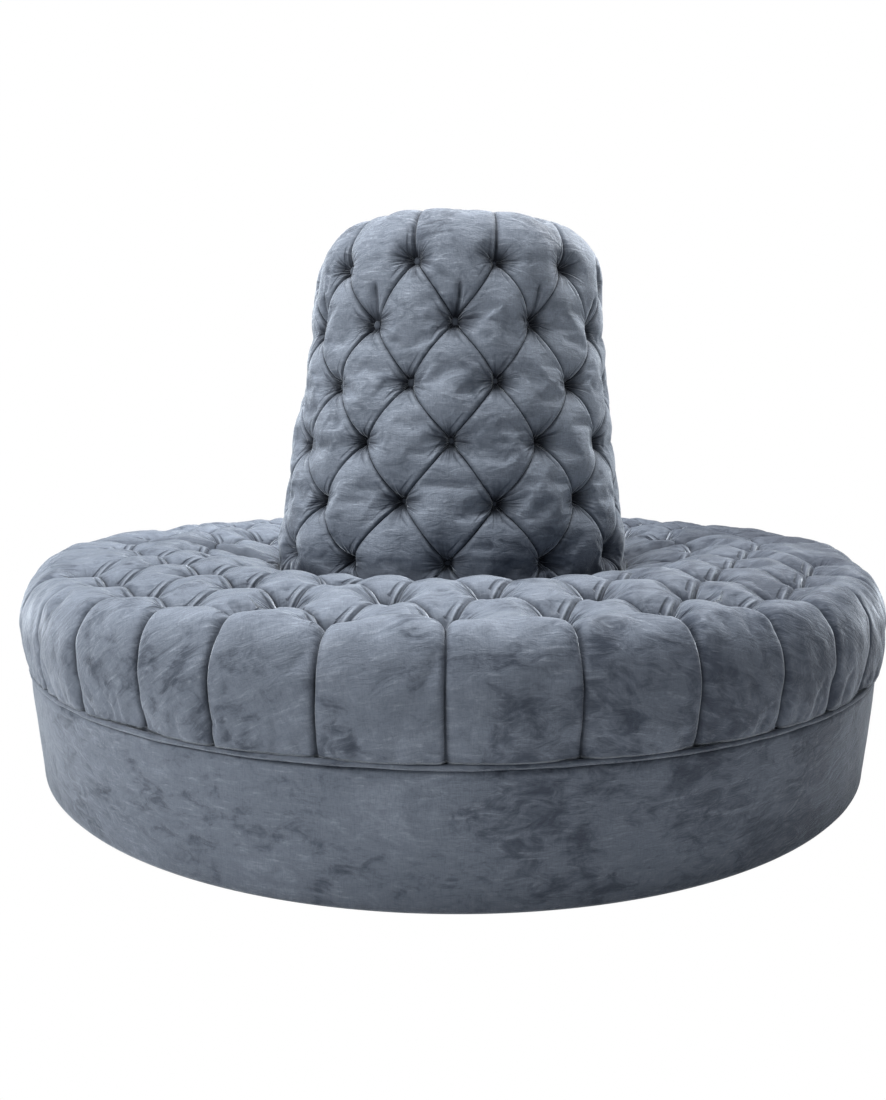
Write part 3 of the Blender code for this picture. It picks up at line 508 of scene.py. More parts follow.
def spread_out(loop, wanted):
    """Those of the wanted points that lie inside and have their room, taken in their order."""
    cells, kept = {}, []

    def cell(point):
        return int(point[0] // RIM_SPACING), int(point[1] // RIM_SPACING)

    def free(point, room):
        column, row = cell(point)
        for near in [(column + i, row + j) for i in (-1, 0, 1) for j in (-1, 0, 1)]:
            for other in cells.get(near, ()):
                if math.hypot(other[0] - point[0], other[1] - point[1]) < room:
                    return False
        return True

    for point in loop:
        cells.setdefault(cell(point), []).append(point)
    for point, room in wanted:
        inside = NOTCH_RADIUS < flat_size(point) < END and -point[1] >= HALF_GAP + RIM_SPACING / 3
        if inside and free(point, room):
            kept.append(point)
            cells.setdefault(cell(point), []).append(point)
    return kept


def seat_plan():
    """Points and triangles of the cover's flat plan, and its boundary's four runs of point numbers."""
    angles = rim_angles()
    rings = np.linspace(START, END, round((END - START) / RIM_SPACING) + 1)
    flat = np.linspace(NOTCH_RADIUS, START, round((START - NOTCH_RADIUS) / RIM_SPACING) + 1)
    stations = [*flat, *rings[1:]]
    leans = [math.asin(HALF_GAP / outline_at(distance)[0]) for distance in stations]
    left, right = ([np.array([side * math.cos(lean), -math.sin(lean)]) * distance
                    for distance, lean in zip(stations, leans)] for side in (-1, 1))
    rim = [spoke(angle) * END for angle in angles[1:-1]]
    count = round(HALF_TURN * NOTCH_RADIUS / RIM_SPACING)
    notch = [spoke(half_way(leans[0], i / count)) * NOTCH_RADIUS for i in range(count - 1, 0, -1)]
    loop = left + rim + right[::-1] + notch
    edges = [(i, (i + 1) % len(loop)) for i in range(len(loop))]
    points = [Vector(point) for point in loop + spread_out(loop, inner_points(angles, rings))]
    made, _, triangles, origins, _, _ = delaunay_2d_cdt(points, edges, [], 1, 1e-8)
    order = {source: i for i, origin in enumerate(origins) for source in origin}
    border = [order[i] for i in range(len(loop))]
    first, second = len(left), len(left) + len(rim)
    third = second + len(right)
    runs = {
        "left": border[:first],
        "rim": border[first - 1:second + 1],
        "right": border[second:third],
        "notch": border[third - 1:] + border[:1],
    }
    return np.array([tuple(point) for point in made]), np.array(triangles), runs


def halve_edges(count, triangles, runs):
    """Splits every triangle in four, numbers the edges' middles after the points, and follows the runs."""
    edges = np.sort(np.concatenate([triangles[:, pair] for pair in ([0, 1], [1, 2], [2, 0])]), axis=1)
    unique, inverse = np.unique(edges, axis=0, return_inverse=True)
    first, second, third = inverse.reshape(3, -1) + count
    a, b, c = triangles.T
    split = np.concatenate([np.stack(corners, 1) for corners in (
        (a, first, third), (first, b, second), (third, second, c), (first, second, third))])
    middle = {tuple(edge): i + count for i, edge in enumerate(unique.tolist())}
    finer = {}
    for name, run in runs.items():
        path = [run[0]]
        for before, after in zip(run, run[1:]):
            path += [middle[min(before, after), max(before, after)], after]
        finer[name] = path
    return unique, split, finer


def with_middles(values, middles):
    """Values at the points, then at the middles of the edges."""
    return np.concatenate([values, values[middles].mean(axis=1)])


def seat_relief(plan, seed, settle):
    """Depth of the seat's cover below its outline, its sideways lips, and what its velvet is told."""
    found = [to_lines(plan, lines) for lines in FOLDS]
    folds = np.stack([away for away, _ in found])
    rising, falling, radial, straight = folds
    which, crease = folds.argmin(axis=0), folds.min(axis=0)
    ways = np.stack([way for _, way in found])[which, np.arange(len(plan))]
    nearest = nearest_of(BUTTONS, plan)
    from_button = plan - BUTTONS[nearest]
    button, distance = flat_size(from_button), flat_size(plan)
    to_cone, edge = distance - NOTCH_RADIUS, -plan[:, 1] - HALF_GAP
    over = ease(distance, RIM_START, RIM_END)

    side_reach, side_share = REACH + (RIM_FOLD_REACH - REACH) * over, 1.0 + (RIM_FOLD_SHARE - 1.0) * over
    pillow = swell(rising / REACH) * swell(falling / REACH)
    pillow *= 1.0 - side_share * (1.0 - swell(radial / side_reach))
    pillow *= 1.0 - 0.75 * (1.0 - swell(straight / REACH))
    calm = 1.0 - 0.5 * fade(to_cone, CALM_WIDTH)
    depth = SEAT_TUFT_DEPTH * (1.0 - (1.0 - RIM_TUFT_SHARE) * ease(distance, RIM_START, RIM_SHALLOW_END))
    drop = tufted(depth, FOLD_LEVEL, SEAT_PIT_WIDTH, pillow, button) * calm
    drop += SEAT_EYE_DEPTH * bell(button, EYE_WIDTH) * calm
    beyond = distance - flat_size(BUTTONS[nearest])
    notch = bell(beyond - RIM_NOTCH_PLACE, RIM_NOTCH_LENGTH) * ease(beyond, 0.0, 0.02)
    drop += RIM_NOTCH_DEPTH * notch * (1.0 - swell(radial / RIM_NOTCH_WIDTH))
    drop += settle * bell(distance - SETTLE_DISTANCE, SETTLE_WIDTH) * ease(edge, 0.10, 0.40)
    corner = np.clip(-plan[:, 1] / distance, 0.0, 1.0) ** 2 * bell(distance - CORNER_DISTANCE, CORNER_WIDTH)
    drop -= CORNER_FULLNESS * corner * swell(radial / CORNER_FOLD_WIDTH)

    pleat = pleat_near(button)
    aside = ease(np.abs(plan[:, 0]) / distance, 0.40, 0.90) * over
    groove = np.where(which == RADIAL_FAMILY, RADIAL_CREASE + 0.0005 * over + 0.0050 * aside,
                      DIAGONAL_CREASE + 0.0010 * over)
    width = CREASE_WIDTH + 0.0015 * pleat + 0.0018 * aside
    drop += creased(groove + SEAT_PLEAT * pleat, crease, width, button)
    drop += SPLIT_DEPTH * fade(edge, SPLIT_WIDTH) ** 2 * ease(to_cone, 0.0, 0.07)
    drop += VALLEY_DEPTH * fade(to_cone, VALLEY_WIDTH) ** 1.5
    drop -= pillow * lumps(plan, seed, SEAT_LUMPS)
    lips = (SEAT_LIP + 0.0010 * pleat) * lip_near(crease) * (1.0 - 0.35 * over)
    lips = ways * (lips * ease(END - distance, 0.0, 0.02) * ease(edge, 0.0, 0.02))[:, None]
    # painted shade along the split line and at the notch by the cone
    shade = np.maximum(SPLIT_SHADE * bell(edge, SPLIT_SHADE_WIDTH),
                       NOTCH_SHADE * bell(to_cone, NOTCH_SHADE_WIDTH))
    label = nearest[:, None] * LABEL_STEP
    return drop, lips, told(np.minimum(crease, np.minimum(edge, to_cone)), button, side=np.sign(ways[:, 0]),
                            tuft=np.concatenate([from_button, label], axis=1), shade=shade)


def seat_places(plan, drop, lips, seed):
    """Places in space of the plan's points."""
    distance = flat_size(plan)
    calm = ease(-plan[:, 1], 0.01, 0.09) * ease(distance - NOTCH_RADIUS, 0.0, 0.06)
    calm *= ease(END - distance, 0.01, 0.12)
    drift = SEAT_DRIFT * np.stack([waves(plan, SEAT_DRIFT_SIZE, seed + i) for i in (2, 3)], 1)
    moved = plan + drift * calm[:, None] + lips
    reach = flat_size(moved)
    radius, height, out, up = outline_at(reach)
    share = (radius - out * (drop + SWELL_ROOM)) / reach
    return in_bounds(np.column_stack([moved * share[:, None], height - up * drop]), reach)


def in_bounds(places, reach):
    """Keeps the seat's cover on its own side of the split line, and above the foam block under it."""
    places[:, 1] = np.minimum(places[:, 1], -HALF_GAP)
    over_foam = reach < FOAM_RADIUS
    places[over_foam, 2] = np.maximum(places[over_foam, 2], FOAM_TOP + 3 * PLAY)
    return places


# Swelling by cloth simulation


def held_points(values):
    """How firmly each point of a cover is held: fully near buttons, a little on folds."""
    held = np.zeros(len(values["fold"]))
    held[values["fold"] > FOLD_ZONE - HELD_FOLD] = FOLD_HOLD
    held[values["button"] > BUTTON_ZONE - HELD_BUTTON] = 1.0
    return held


def add_object(name, data):
    """Puts an object into the scene."""
    made = bpy.data.objects.new(name, data)
    bpy.context.scene.collection.objects.link(made)
    return made


def mesh_object(name, places, faces):
    """Puts a mesh into the scene."""
    mesh = bpy.data.meshes.new(name)
    mesh.from_pydata(places, [], faces)
    return add_object(name, mesh)


def puff_up(places, triangles, held, spare, name):
    cover = mesh_object(name, places.tolist(), triangles.tolist())
    group = cover.vertex_groups.new(name="held")
    for level in (1.0, FOLD_HOLD):
        group.add(np.nonzero(held == level)[0].tolist(), level, "REPLACE")
    cloth = cover.modifiers.new("cloth", "CLOTH")
    for key, value in CLOTH.items():
        setattr(cloth.settings, key, value)
    cloth.settings.shrink_min = -spare
    cloth.settings.effector_weights.gravity = 0
    cloth.collision_settings.use_collision = False
    for number in range(1, SWELL_FRAMES + 1):
        bpy.context.scene.frame_set(number)
    settled = cover.evaluated_get(bpy.context.evaluated_depsgraph_get()).to_mesh()
    after = np.empty(places.size)
    settled.vertices.foreach_get("co", after)
    moves = after.reshape(-1, 3) - places
    bpy.context.scene.frame_set(1)
    bpy.data.meshes.remove(cover.data)
    sizes = np.linalg.norm(moves, axis=1)
    print(name, "moved", round(float(sizes.mean()), 5), round(float(sizes.max()), 5), flush=True)
    return moves * np.minimum(1.0, SWELL_CAP / np.maximum(sizes, TINY))[:, None]


# Meshes


def add_mesh(name, places, faces, attributes):
    """Makes a smooth object with outward normals, and with values for its first points."""
    made = mesh_object(name, [tuple(place) for place in places], faces)
    for key, values in attributes.items():
        values = np.asarray(values, float)
        single = values.ndim == 1
        layer = made.data.attributes.new(key, "FLOAT" if single else "FLOAT_VECTOR", "POINT")
        filled = np.zeros((len(places), *values.shape[1:]))
        filled[:len(values)] = values
        layer.data.foreach_set("value" if single else "vector", filled.ravel())
    shape = bmesh.new()
    shape.from_mesh(made.data)
    bmesh.ops.recalc_face_normals(shape, faces=shape.faces)
    shape.to_mesh(made.data)
    shape.free()
    made.data.shade_smooth()
    return made


def bands(runs, closed=False):
    """Four-sided faces between each two neighbours of some runs of point numbers."""
    faces = []
    for above, below in zip(runs, runs[1:]):
        pairs = list(zip(above, below))
        pairs += pairs[:1] if closed else []
        faces += [[a, c, d, b] for (a, b), (c, d) in zip(pairs, pairs[1:])]
    return faces


def next_numbers(places, count):
    """Numbers of the points that are added next."""
    return list(range(len(places), len(places) + count))


def at_split(x, radius):
    """The place on a round that lies on the split line, on the side of x."""
    return math.copysign(math.sqrt(radius ** 2 - HALF_GAP ** 2), x), -HALF_GAP


def fill_between(places, outer, inner):
    """Triangles of the flat ring between two loops of point numbers."""
    names = outer + inner
    edges = [(i, (i + 1) % len(outer)) for i in range(len(outer))]
    edges += [(len(outer) + i, len(outer) + (i + 1) % len(inner)) for i in range(len(inner))]
    points = [Vector(places[i][:2]) for i in names]
    _, _, triangles, origins, _, _ = delaunay_2d_cdt(points, edges, [], 2, 1e-8)
    within = [[names[origins[i][0]] for i in triangle] for triangle in triangles]
    return [triangle for triangle in within if not set(triangle) <= set(inner)]


def foam_loop(spare):
    """Plan of the seat's foam block, let out by a spare width."""
    points = []
    for radius, order in ((FOAM_RADIUS + spare, 1), (FOAM_INNER_RADIUS - spare, -1)):
        tip = math.asin((FOAM_END - spare) / radius)
        arc = [half_way(tip, i / FOAM_STEPS) for i in range(FOAM_STEPS + 1)]
        points += [(radius * math.cos(angle), radius * math.sin(angle)) for angle in arc[::order]]
    return points


def seat_cover(half, seed, settle, turned, cut):
    """One half's tufted cover, closed round its padding and open under its foam block."""
    plan, triangles, runs, moves = cut
    drop, lips, values = seat_relief(plan, seed, settle)
    places = in_bounds(seat_places(plan, drop, lips, seed) + moves, flat_size(plan))
    places[runs["left"] + runs["right"], 1] = -HALF_GAP
    places = places.tolist()
    rim, notch = runs["rim"], runs["notch"]
    rows = [rim]
    tucks = (
        (LOWER_EDGE_RADIUS - 0.0012, LOWER_EDGE_HEIGHT - 0.0026),
        (LOWER_EDGE_RADIUS - 0.0050, CUSHION_STEP_HEIGHT + 0.0004),
        (CUSHION_FOOT_RADIUS, CUSHION_STEP_HEIGHT),
        (CUSHION_FOOT_RADIUS, CUSHION_FOOT),
    )
    for radius, height in tucks:
        rows.append(next_numbers(places, len(rim)))
        for i in rim:
            x, y, _ = places[i]
            size = math.hypot(x, y)
            near = min(radius, size)
            flat = at_split(x, near) if i in (rim[0], rim[-1]) else (x / size * near, y / size * near)
            places.append([*flat, height])
    notch_foot = next_numbers(places, len(notch))
    places += [[*places[i][:2], CUSHION_FOOT] for i in notch]
    recess = foam_loop(PLAY)
    low = next_numbers(places, len(recess))
    high = [i + len(recess) for i in low]
    places += [[x, y, height] for height in (CUSHION_FOOT, FOAM_TOP + PLAY) for x, y in recess]
    faces = triangles.tolist() + bands(rows) + bands([notch, notch_foot])
    faces.append(runs["left"] + [row[0] for row in rows[1:]] + notch_foot[-1:])
    faces.append(runs["right"] + notch_foot[:1] + [row[-1] for row in rows[:0:-1]])
    faces += fill_between(places, rows[-1] + notch_foot, low) + bands([low, high], closed=True) + [high]
    values["cloth"] = np.column_stack([plan, np.full(len(plan), seed * 0.7)])
    places = np.array(places)
    if turned:
        places[:, :2] *= -1
        # painted shade in a band along the back half's split edge
        values["shade"] = np.maximum(values["shade"], BACK_SHADE * bell(plan[:, 1], BACK_SHADE_WIDTH))
    return add_mesh(half + "_seat_velvet", places, faces, values)


def dome(centre, normal, radius, height, first):
    """Points and faces of a small covered button that sits on the cloth."""
    normal = Vector(normal).normalized()
    across = normal.orthogonal().normalized()
    turns = [TURN * i / DOME_SIDES for i in range(DOME_SIDES)]
    rays = [across * math.cos(turn) + normal.cross(across) * math.sin(turn) for turn in turns]
    points = [Vector(centre) + ray * radius * wide + normal * height * tall
              for wide, tall in DOME_SHARES for ray in rays]
    rings = [[first + level * DOME_SIDES + i for i in range(DOME_SIDES)] for level in range(len(DOME_SHARES))]
    return points, bands(rings, closed=True) + [rings[0], rings[-1]]


def buttons_on(name, spots, radius, height, shade):
    """All the covered buttons of one cover, at (place, direction) spots, as one mesh, with an even share of
    painted shade.
    """
    places, faces, cloth = [], [], []
    for number, (centre, normal) in enumerate(spots):
        points, sides = dome(centre, normal, radius, height, len(places))
        cloth += [tuple(point - Vector(centre) + Vector((number * 0.31, 0.0, 0.0))) for point in points]
        places += points
        faces += sides
    return add_mesh(name, places, faces, {"cloth": cloth, "shade": np.full(len(cloth), shade)})


def make_seats():
    """Both tufted seats with their buttons."""
    plan, triangles, runs = seat_plan()
    drop, lips, values = seat_relief(plan, SEAT_SEEDS[0], FRONT_SETTLE)
    held = held_points(values)
    for run in runs.values():
        held[run] = 1.0
    coarse = seat_places(plan, drop, lips, SEAT_SEEDS[0])
    moves = puff_up(coarse, triangles, held, SEAT_SPARE_SHARE, "swelling_seat")
    middles, triangles, runs = halve_edges(len(plan), triangles, runs)
    plan = with_middles(plan, middles)
    cut = (plan, triangles, runs, with_middles(moves, middles))
    _, _, out, up = outline_at(flat_size(BUTTONS))
    ways = BUTTONS / flat_size(BUTTONS)[:, None] * out[:, None]
    under = nearest_of(plan, BUTTONS)
    made = []
    for half, seed, settle, sign in zip(("front", "back"), SEAT_SEEDS, (FRONT_SETTLE, BACK_SETTLE), (1, -1)):
        cover = seat_cover(half, seed, settle, sign < 0, cut)
        normals = [Vector((x, y, rise)) for (x, y), rise in zip(ways * sign, up)]
        spots = [(cover.data.vertices[i].co + normal * SEAT_BUTTON_RISE, normal)
                 for i, normal in zip(under, normals)]
        # the seat's buttons painted partly in shade
        buttons = buttons_on(half + "_seat_buttons", spots, BUTTON_RADIUS, BUTTON_HEIGHT, 0.45)
        made.append((half, cover, buttons))
    return made


# The cone


def cone_outline():
    """Rows of the cone's outline: rows below the top row of buttons, radius, height, outward direction."""
    rows = []
    step = CONE_SPACING / CONE_STEPS
    for i in range(round((CONE_TOP_ROW - CUSHION_FOOT) / step), 0, -1):
        height = CONE_TOP_ROW - i * step
        if height < CUSHION_FOOT + step / 2:
            height = CUSHION_FOOT
        radius = np.interp(height, (SEAT_HEIGHT, CONE_SHOULDER_HEIGHT),
                           (CONE_SEAT_RADIUS, CONE_SHOULDER_RADIUS))
        rows.append(((CONE_TOP_ROW - height) / CONE_SPACING, radius, height, 1.0, 0.0))
    power = 2 / CONE_ROLL_POWER
    turn = np.linspace(0.0, HALF_TURN / 2, ROLL_SAMPLES)
    flat = CONE_SHOULDER_RADIUS - CONE_ROLL_WIDTH
    inward = np.linspace(flat, CONE_EYE_RADIUS, ROLL_SAMPLES // 2)[1:]
    radii = np.append(flat + CONE_ROLL_WIDTH * np.maximum(np.cos(turn), 0.0) ** power, inward)
    heights = np.append(CONE_TOP_ROW + (CONE_HEIGHT - CONE_TOP_ROW) * np.sin(turn) ** power,
                        CONE_HEIGHT - CONE_DIP * bell(inward, CONE_DIP_RADIUS))
    outline = with_lengths(radii, heights)
    count = round(outline[0][-1] / step)
    for i, length in enumerate(outline[0][-1] * np.arange(count + 1) / count):
        radius, height, inside, down = follow(outline, length)
        out, up = (1.0, 0.0) if i == 0 else (-inside, -down)
        rows.append((-length / CONE_SPACING, radius, height, out, up))
    return np.array(rows)


def nearest_cone_button(turn, row, rising, falling, pitch):
    """Distance to the nearest button of the cone, the way to it over the cloth, and its label."""
    found = []
    for one in (np.round(rising) + step for step in (-1, 0, 1)):
        for other in (np.round(falling) + step for step in (-1, 0, 1)):
            button_turn, button_row = one + other, one - other + 1
            across, up = (turn - button_turn) * pitch, (button_row - row) * CONE_SPACING
            away = np.where((button_row >= 0) & (button_row <= CONE_ROWS), np.hypot(across, up), FAR)
            found.append(np.stack([away, across, up, button_turn % CONE_HALF_PITCHES * 3.1 + button_row]))
    found = np.stack(found)
    return found[found[:, 0].argmin(axis=0), :, np.arange(len(turn))].T


def cone_relief(turn, row, radius, height):
    """Depth of the cone's cover below its outline at a turn (in half pitches) and row, and what lies near."""
    pitch = radius * TURN / CONE_HALF_PITCHES
    reach = pitch * CONE_SPACING / np.hypot(pitch, CONE_SPACING)
    rising, falling = (turn + row - 1) / 2, (turn - row + 1) / 2
    above, rise = row < 0, np.maximum(-row, 0.0) * CONE_SPACING
    sideways = (turn - 2 * np.floor(turn / 2) - 1) * pitch
    first, second = (np.where(above, np.hypot(sideways, rise), np.abs(way - np.round(way)) * 2 * reach)
                     for way in (rising, falling))
    upright = np.where(above, np.abs(sideways), FAR)
    folds = np.stack([first, second, upright])
    crease = folds.min(axis=0)
    button, across, up, label = nearest_cone_button(turn, row, rising, falling, pitch)

    depth = np.interp(height, (CONE_FOOT_ROW, CONE_TOP_ROW), (CONE_FOOT_DEPTH, CONE_TOP_DEPTH))
    rolled = ease(rise, 0.0, 0.16)
    side = 1.0 - (1.0 - 0.55 * rolled) * (1.0 - swell(upright / np.minimum(reach, np.maximum(pitch, 0.004))))
    pillow = swell(first / reach) * swell(second / reach) * side
    drop = tufted(depth, CONE_FOLD_LEVEL, CONE_PIT_WIDTH, pillow, button)
    drop += CONE_EYE_DEPTH * bell(button, EYE_WIDTH)
    drop *= (1.0 - 0.5 * ease(rise, 0.16, 0.38)) * ease(height, CONE_CLOSED_HEIGHT, CONE_OPEN_HEIGHT)
    pleat = pleat_near(button)
    groove = creased(CONE_CREASE + CONE_PLEAT * pleat, crease, CREASE_WIDTH + 0.0010 * pleat, button)
    drop += groove * (1.0 - 0.6 * rolled)

    # Short folds that fan out below the top row of buttons
    gap = np.abs(turn - 2 * np.round(turn / 2) - FAN_SLANT * (1.0 - row)) * pitch
    outside = FOLD_ZONE * (1.0 - ease(row, 0.12, 0.45)) + np.where((row < 0) | (row > 1), 1.0, 0.0)
    short = gap + outside
    beside = np.abs(gap - FAN_SPREAD * (1.0 - row)) + outside + FOLD_ZONE * (1.0 - ease(row, 0.30, 0.70))
    for away, (deep, wide) in zip((short, beside), FAN_CREASES):
        drop += deep * bell(away, wide, CREASE_POWER)
    places = around(radius, turn * TURN / CONE_HALF_PITCHES, height)
    drop -= pillow * lumps(places, CONE_SEED, CONE_LUMPS)

    one, other = (np.sign(np.round(way) - way) / np.hypot(pitch, CONE_SPACING) for way in (rising, falling))
    ways = np.stack([(one * CONE_SPACING, -one * pitch), (other * CONE_SPACING, other * pitch),
                     (-np.sign(sideways), np.zeros(len(turn)))])
    ways = ways[folds.argmin(axis=0), :, np.arange(len(turn))]
    return drop, np.minimum(crease, short), ways, button, np.stack([across, up, label * LABEL_STEP], 1)


def cone_places(turn, rows):
    """Places in space of the cone cover's points, and what their velvet is told."""
    row, radius, height, out, up = rows.T
    drop, crease, ways, button, tuft = cone_relief(turn, row, radius, height)
    lip = CONE_LIP * lip_near(crease) * ease(button, 0.006, 0.02) * ease(row, -0.2, 0.2)
    angle = CONE_TURN + HALF_TURN / 2 + turn * TURN / CONE_HALF_PITCHES + lip * ways[:, 0] / radius
    height = height + lip * ways[:, 1]
    places = around(radius, angle, height)
    calm = ease(height, CUSHION_FOOT, CUSHION_FOOT + 0.1) * ease(radius, 0.05, 0.2)
    aside, along = (share * waves(places, CONE_DRIFT_SIZE, CONE_SEED + 2 + i) * calm
                    for i, share in enumerate(CONE_DRIFT))
    angle = angle + aside / radius
    height = height + along * (out > 0.9)
    drop = drop + ((SWELL_ROOM * ease(height, 0.350, 0.400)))
    reach = radius - out * (drop - CONE_FULLNESS * bell(height - CONE_FULL_HEIGHT, CONE_FULL_WIDTH))
    flare = 1.0 - ease(height, CUSHION_FOOT, CUSHION_FOOT + FOOT_FLARE)
    reach += (NOTCH_RADIUS - FOOT_CLEARANCE - reach) * flare
    places = around(reach, angle, height - up * drop)
    places[:, 0] += np.interp(height, (SEAT_HEIGHT, CONE_HEIGHT), (0.0, CONE_LEAN))
    length = np.where(row >= 0, height, CONE_TOP_ROW - row * CONE_SPACING)
    across = turn / CONE_HALF_PITCHES * TURN * CONE_CLOTH_RADIUS
    cloth = np.stack([across, length, np.full(len(turn), CONE_CLOTH_LABEL)], 1)
    # painted shade on the cone's foot, below the seat's top
    shade = CONE_FOOT_SHADE * (1.0 - ease(height, CONE_CLOSED_HEIGHT, SEAT_HEIGHT))
    faint = crease + 0.0022 * ease(-row, 0.15, 1.0)
    side = 0.55 * np.sign(ways[:, 0])
    return clear_of_foam(places), told(faint, button, tuft=tuft, side=side, cloth=cloth, shade=shade)


def clear_of_foam(places):
    """Keeps the cone's cover outside the foam under it."""
    height = places[:, 2]
    least = np.interp(height, (FOAM_FOOT_HEIGHT, FOAM_HEAD_HEIGHT), (FOAM_FOOT_RADIUS, FOAM_HEAD_RADIUS))
    push = np.maximum(1.0, (least + 2 * PLAY) / flat_size(places))
    push[height >= FOAM_HEAD_HEIGHT] = 1.0
    places[:, :2] *= push[:, None]
    return places


def cone_triangles(rows):
    """Triangles of the cone's grid, cut along the folds."""
    columns = CONE_HALF_PITCHES * CONE_STEPS
    triangles = []
    for level in range(len(rows) - 1):
        middle = (rows[level][0] + rows[level + 1][0]) / 2
        for column in range(columns):
            after = (column + 1) % columns
            a, b, c, d = (start * columns + i for start in (level, level + 1) for i in (column, after))
            here = (column + 0.5) / CONE_STEPS
            ways = ((here + middle - 1) / 2, (here - middle + 1) / 2)
            rising, falling = (abs(way - round(way)) for way in ways)
            triangles += [[a, b, d], [a, d, c]] if rising < falling else [[a, b, c], [b, d, c]]
    return np.array(triangles)


def make_cone():
    """The tufted cover of the cone, with its buttons, and the middle of its top."""
    rows = cone_outline()
    columns = CONE_HALF_PITCHES * CONE_STEPS
    last = (len(rows) - 1) * columns
    turn = np.tile(np.arange(columns) / CONE_STEPS, len(rows))
    spread = np.repeat(rows, columns, axis=0)
    triangles = cone_triangles(rows)
    places, values = cone_places(turn, spread)
    held = held_points(values)
    held[:columns] = held[-columns:] = held[spread[:, 2] < SEAT_HEIGHT - 0.08] = 1.0
    moves = puff_up(places, triangles, held, CONE_SPARE_SHARE, "swelling_cone")
    loops = {"top": [*range(last, last + columns), last], "foot": [*range(columns), 0]}
    middles, triangles, loops = halve_edges(len(turn), triangles, loops)
    ends = turn[middles]
    gap = ends[:, 1] - ends[:, 0]
    ends[:, 0] += np.where(gap > CONE_HALF_PITCHES / 2, CONE_HALF_PITCHES, 0.0)
    ends[:, 1] += np.where(gap < -CONE_HALF_PITCHES / 2, CONE_HALF_PITCHES, 0.0)
    turn = np.concatenate([turn, ends.mean(axis=1) % CONE_HALF_PITCHES])
    spread = with_middles(spread, middles)
    places, values = cone_places(turn, spread)
    points = clear_of_foam(places + with_middles(moves, middles))

    top, foot = loops["top"][:-1], loops["foot"][:-1]
    centre = points[top].mean(axis=0)
    places = [*points.tolist(), centre.tolist()]
    faces = triangles.tolist() + [[here, after, len(points)] for here, after in zip(top, top[1:] + top[:1])]
    foam_radius, _, foam_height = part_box("cone_foam")[1]
    pad_radius, _, pad_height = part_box("cone_top_foam")[1]
    rings = [foot]
    ways = points[foot, :2] / flat_size(points[foot])[:, None]
    inside = ((foam_radius, CUSHION_FOOT - PLAY), (foam_radius, CONE_FOOT_ROW - PLAY),
              (top_inner_radius(), foam_height), (pad_radius, foam_height), (pad_radius, pad_height))
    for radius, height in inside:
        rings.append(next_numbers(places, len(foot)))
        places += [[x, y, height + PLAY] for x, y in (ways * (radius + PLAY)).tolist()]
    faces += bands(rings, closed=True) + [rings[-1]]
    cover = add_mesh("cone_velvet", places, faces, values)
    spots = []
    for level in range(CONE_ROWS):
        for number in range((level + 1) % 2, CONE_HALF_PITCHES, 2):
            place = points[np.hypot(turn - number, spread[:, 0] - level).argmin()]
            normal = Vector((*place[:2] / flat_size(place), 0.08))
            spots.append((Vector(place) - normal * CONE_BUTTON_SINK, normal))
    # the side buttons painted further in shade
    return cover, buttons_on("cone_side_buttons", spots, BUTTON_RADIUS, BUTTON_HEIGHT, 0.60), Vector(centre)


def top_inner_radius():
    """Radius of the cone's side foam at its upper end."""
    places = [vertex.co for vertex in frame["nodes"]["cone_foam"].data.vertices]
    top = max(place.z for place in places)
    return max(place.xy.length for place in places if place.z > top - PLAY)


# Plinth cover and piping


def swept_half(name, stations, middle, label, turned, profile_at):
    """Sweeps a profile round a half circle; profile_at gives (radius, height, cloth) points at an angle."""
    tip = math.asin(HALF_GAP / PLINTH_FOOT_RADIUS)
    places, cloth, shade, rings = [], [], [], []
    shares = [i / stations for i in range(stations + 1)]
    for share in sorted({*shares, *END_SHARES, *(1.0 - share for share in END_SHARES)}):
        angle = half_way(tip, share)
        ring = profile_at(angle)
        rings.append(next_numbers(places, len(ring)))
        for radius, height, across in ring:
            x, y = at_split(math.cos(angle), radius) if share in (0.0, 1.0) else radius * spoke(angle)
            places.append((-x, -y, height) if turned else (x, y, height))
            cloth.append((angle * middle, across, label))
            # painted shade at the split line
            shade.append(SPLIT_SHADE * bell(y, BASE_SHADE_WIDTH))
    faces = bands(rings, closed=True) + [rings[0], rings[-1]]
    return add_mesh(name, places, faces, {"cloth": cloth, "shade": shade})


def make_plinth(half, seed, turned):
    """The plain velvet band of one half."""
    rise = PLINTH_TOP - PLINTH_FOOT
    levels = np.array([0.0, *np.linspace(0.03, 0.97, 26), 1.0])
    near = np.minimum(levels, 1.0 - levels) * rise
    tuck = PLINTH_EDGE * (1.0 - np.sqrt(1.0 - fade(near, PLINTH_EDGE) ** 2))
    soft = np.minimum(1.0, near / PLINTH_SOFT_EDGE)
    heights = [*(PLINTH_FOOT + rise * levels).tolist(), PLINTH_TOP, PLINTH_FOOT]

    def profile(angle):
        middle = np.tile(spoke(angle) * PLINTH_MIDDLE, (len(levels), 1))
        places = np.column_stack([middle, levels * rise])
        swells = lumps(places, seed, PLINTH_LUMPS)
        swells -= PLINTH_TUCK * fade(abs(math.sin(angle)) * PLINTH_TOP_RADIUS, PLINTH_TUCK_WIDTH) ** 2
        swells += PLINTH_BULGE * np.sin(HALF_TURN * levels)
        radii = PLINTH_FOOT_RADIUS + (PLINTH_TOP_RADIUS - PLINTH_FOOT_RADIUS) * levels - tuck + swells * soft
        radii = [*radii.tolist(), PLINTH_TOP_RADIUS - PLINTH_WALL, PLINTH_FOOT_RADIUS - PLINTH_WALL]
        return list(zip(radii, heights, heights))

    return swept_half(half + "_plinth_velvet", PLINTH_STATIONS, PLINTH_MIDDLE, seed * 0.7, turned, profile)


